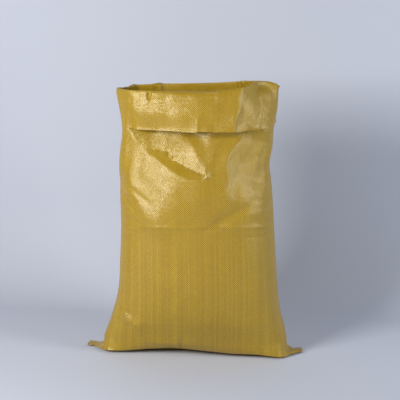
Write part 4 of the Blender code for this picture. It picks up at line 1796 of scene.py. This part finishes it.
@dataclass
class CementHeap:
    """The cement in the sack. Only its mounded top shows, through the mouth."""

    cloth: SackCloth
    finish: Powder = field(default_factory=Powder)
    level: float = 0.452
    lowest: float = 0.010
    clearance: float = 0.0035
    row_step: int = 4
    mound: float = 0.020
    mound_curve: float = 1.7
    brim_fade: float = 6.0
    lump: float = 0.006
    lump_scale: float = 16.0
    lump_octaves: tuple[float, float, int] = (0.9, 2.1, 4)
    grain: float = 0.35
    grain_scale: float = 90.0
    rings: int = 26
    name: str = "cement_heap"

    def side_rings(self) -> list[np.ndarray]:
        """Rings just inside the cloth, from the foot up to the cement's brim.

        Returns:
            The rings, the brim last.
        """
        rows = self.cloth.rows
        inside = rows - self.cloth.outward() * self.clearance
        heights = rows[:, :, 2].mean(axis=1)
        first = self.cloth.form.ear_steps + 2
        last = int(np.argmax(heights[: self.cloth.wall_end] > self.level))
        rings, brim = inside[first : last : self.row_step, ::2], inside[last, ::2]
        rings[:, :, 2] = np.maximum(rings[:, :, 2], self.lowest)
        brim[:, 2] = self.level
        return [*rings, brim]

    def top_rings(self, brim: np.ndarray) -> list[np.ndarray]:
        """Rings from the brim in to the middle, over the mound.

        Args:
            brim: The ring that they start from.

        Returns:
            The rings, from outside in.
        """
        middle = brim.mean(axis=0)
        rings = []
        for t in np.linspace(1, 0, self.rings + 1)[1:-1]:
            ring = middle + (brim - middle) * t
            rise = self.mound * (1 - t**self.mound_curve)
            fade = min(1.0, (1 - t) * self.brim_fade)
            for point in ring:
                spot = Vector(point)
                rough = noise.fractal(spot * self.lump_scale, *self.lump_octaves)
                rough += self.grain * noise.turbulence(spot * self.grain_scale, 3, False)
                point[2] = self.level + rise + fade * self.lump * rough
            rings.append(ring)
        return rings

    def build(self) -> bpy.types.Object:
        """Builds the heap and dresses it.

        Returns:
            The heap's object.
        """
        sides = self.side_rings()
        rings = [*sides, *self.top_rings(sides[-1])]
        count = len(rings[0])
        faces: list[Sequence[int]] = tube_faces(len(rings), count)
        faces += [range((len(rings) - 1) * count, len(rings) * count), range(count - 1, -1, -1)]
        obj = add_piece(self.name, np.concatenate(rings).tolist(), faces, self.finish.material())
        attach(obj, "root")
        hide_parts("cement_fill")
        return obj


@dataclass(frozen=True)
class Softbox:
    """A rectangular soft light: where it hangs round the sack in degrees, its size and its power."""

    name: str
    azimuth: float
    elevation: float
    distance: float
    width: float
    height: float
    watts: float
    tint: Colour = (1.0, 1.0, 1.0)


@dataclass
class Studio:
    """The pale floor and wall, the soft lights and the camera."""

    finish: StudioPaper = field(default_factory=StudioPaper)
    lamps: tuple[Softbox, ...] = (
        Softbox("key", -38.0, 20.0, 2.1, 0.75, 0.80, 40.0, (1.0, 0.985, 0.96)),
        Softbox("side", 66.0, 16.0, 2.3, 0.60, 1.3, 23.5, (0.95, 0.97, 1.0)),
    )
    aim_height: float = 0.46
    room_tint: Colour = (0.86, 0.92, 1.0)
    room_strength: float = 0.09
    camera_distance: float = 3.11
    camera_height: float = 1.132
    camera_azimuth: float = 6.0
    camera_pitch: float = 13.2
    focal_pixels: float = 1256.0
    origin_left_of_middle: float = 5.0
    bend_steps: int = 17
    wall_distance: float = 0.55
    wall_height: float = 5.0
    half_width: float = 5.0
    floor_length: float = 6.0
    bend_radius: float = 0.26

    def backdrop(self) -> None:
        """One sheet that runs along the floor and curves up into the wall."""
        profile = [(-self.floor_length, 0.0), (self.wall_distance - self.bend_radius, 0.0)]
        for angle in np.linspace(0, math.pi / 2, self.bend_steps)[1:]:
            y = self.wall_distance - self.bend_radius + self.bend_radius * math.sin(angle)
            profile.append((y, self.bend_radius * (1 - math.cos(angle))))
        profile.append((self.wall_distance, self.wall_height))
        points = [(x, y, z - FLOOR) for y, z in profile for x in (-self.half_width, self.half_width)]
        faces = [[2 * i + k for k in (0, 1, 3, 2)] for i in range(len(profile) - 1)]
        sweep = add_piece("studio_sweep", points, faces, self.finish.material())

    def light(self, lamp: Softbox) -> None:
        """Hangs one soft light, facing the middle of the sack.

        Args:
            lamp: The light.
        """
        rise = math.radians(lamp.elevation)
        way = stand(lamp.azimuth, lamp.distance * math.cos(rise), lamp.distance * math.sin(rise))
        data = bpy.data.lights.new(lamp.name, "AREA")
        data.shape = "RECTANGLE"
        data.size, data.size_y = lamp.width, lamp.height
        data.energy = lamp.watts
        data.color = lamp.tint
        obj = put(lamp.name, data)
        obj.location = Vector((0.0, 0.0, self.aim_height)) + way
        obj.rotation_euler = (-way).to_track_quat("-Z", "Y").to_euler()

    def lights(self) -> None:
        """Hangs the soft lights and sets the room's own pale light."""
        for lamp in self.lamps:
            self.light(lamp)
        world = bpy.data.worlds.new("room")
        bpy.context.scene.world = world
        world.use_nodes = True
        background = world.node_tree.nodes["Background"]
        background.inputs["Color"].default_value = (*self.room_tint, 1.0)
        background.inputs["Strength"].default_value = self.room_strength

    def camera(self) -> None:
        """The camera at the photograph's angle."""
        lens = bpy.data.cameras.new("photo_camera")
        lens.sensor_width = 36.0
        lens.lens = self.focal_pixels / PHOTO_SIDE * lens.sensor_width
        obj = put("photo_camera", lens)
        obj.location = stand(self.camera_azimuth, self.camera_distance, self.camera_height)
        pan = math.atan(self.origin_left_of_middle / self.focal_pixels)
        turn = math.radians(self.camera_azimuth) - pan
        obj.rotation_euler = (math.radians(90 - self.camera_pitch), 0, turn)
        bpy.context.scene.camera = obj

    def build(self) -> None:
        """Sets the whole studio up."""
        self.backdrop()
        self.lights()
        self.camera()
        bpy.context.scene.view_settings.view_transform = "Standard"


def main() -> None:
    """Builds the sack's parts in order and reports each one."""
    logging.basicConfig(level=logging.INFO, format="%(name)s: %(message)s")
    sack = SackCloth()
    hem = BottomHem(sack.form, sack.finish)
    pieces = [part.build() for part in (sack, hem, SeamThread(hem), CementHeap(sack))]
    for piece in pieces:
        LOG.info("%s: %d faces", piece.name, len(piece.data.polygons))
    Studio().build()


if __name__ == "__main__":
    main()
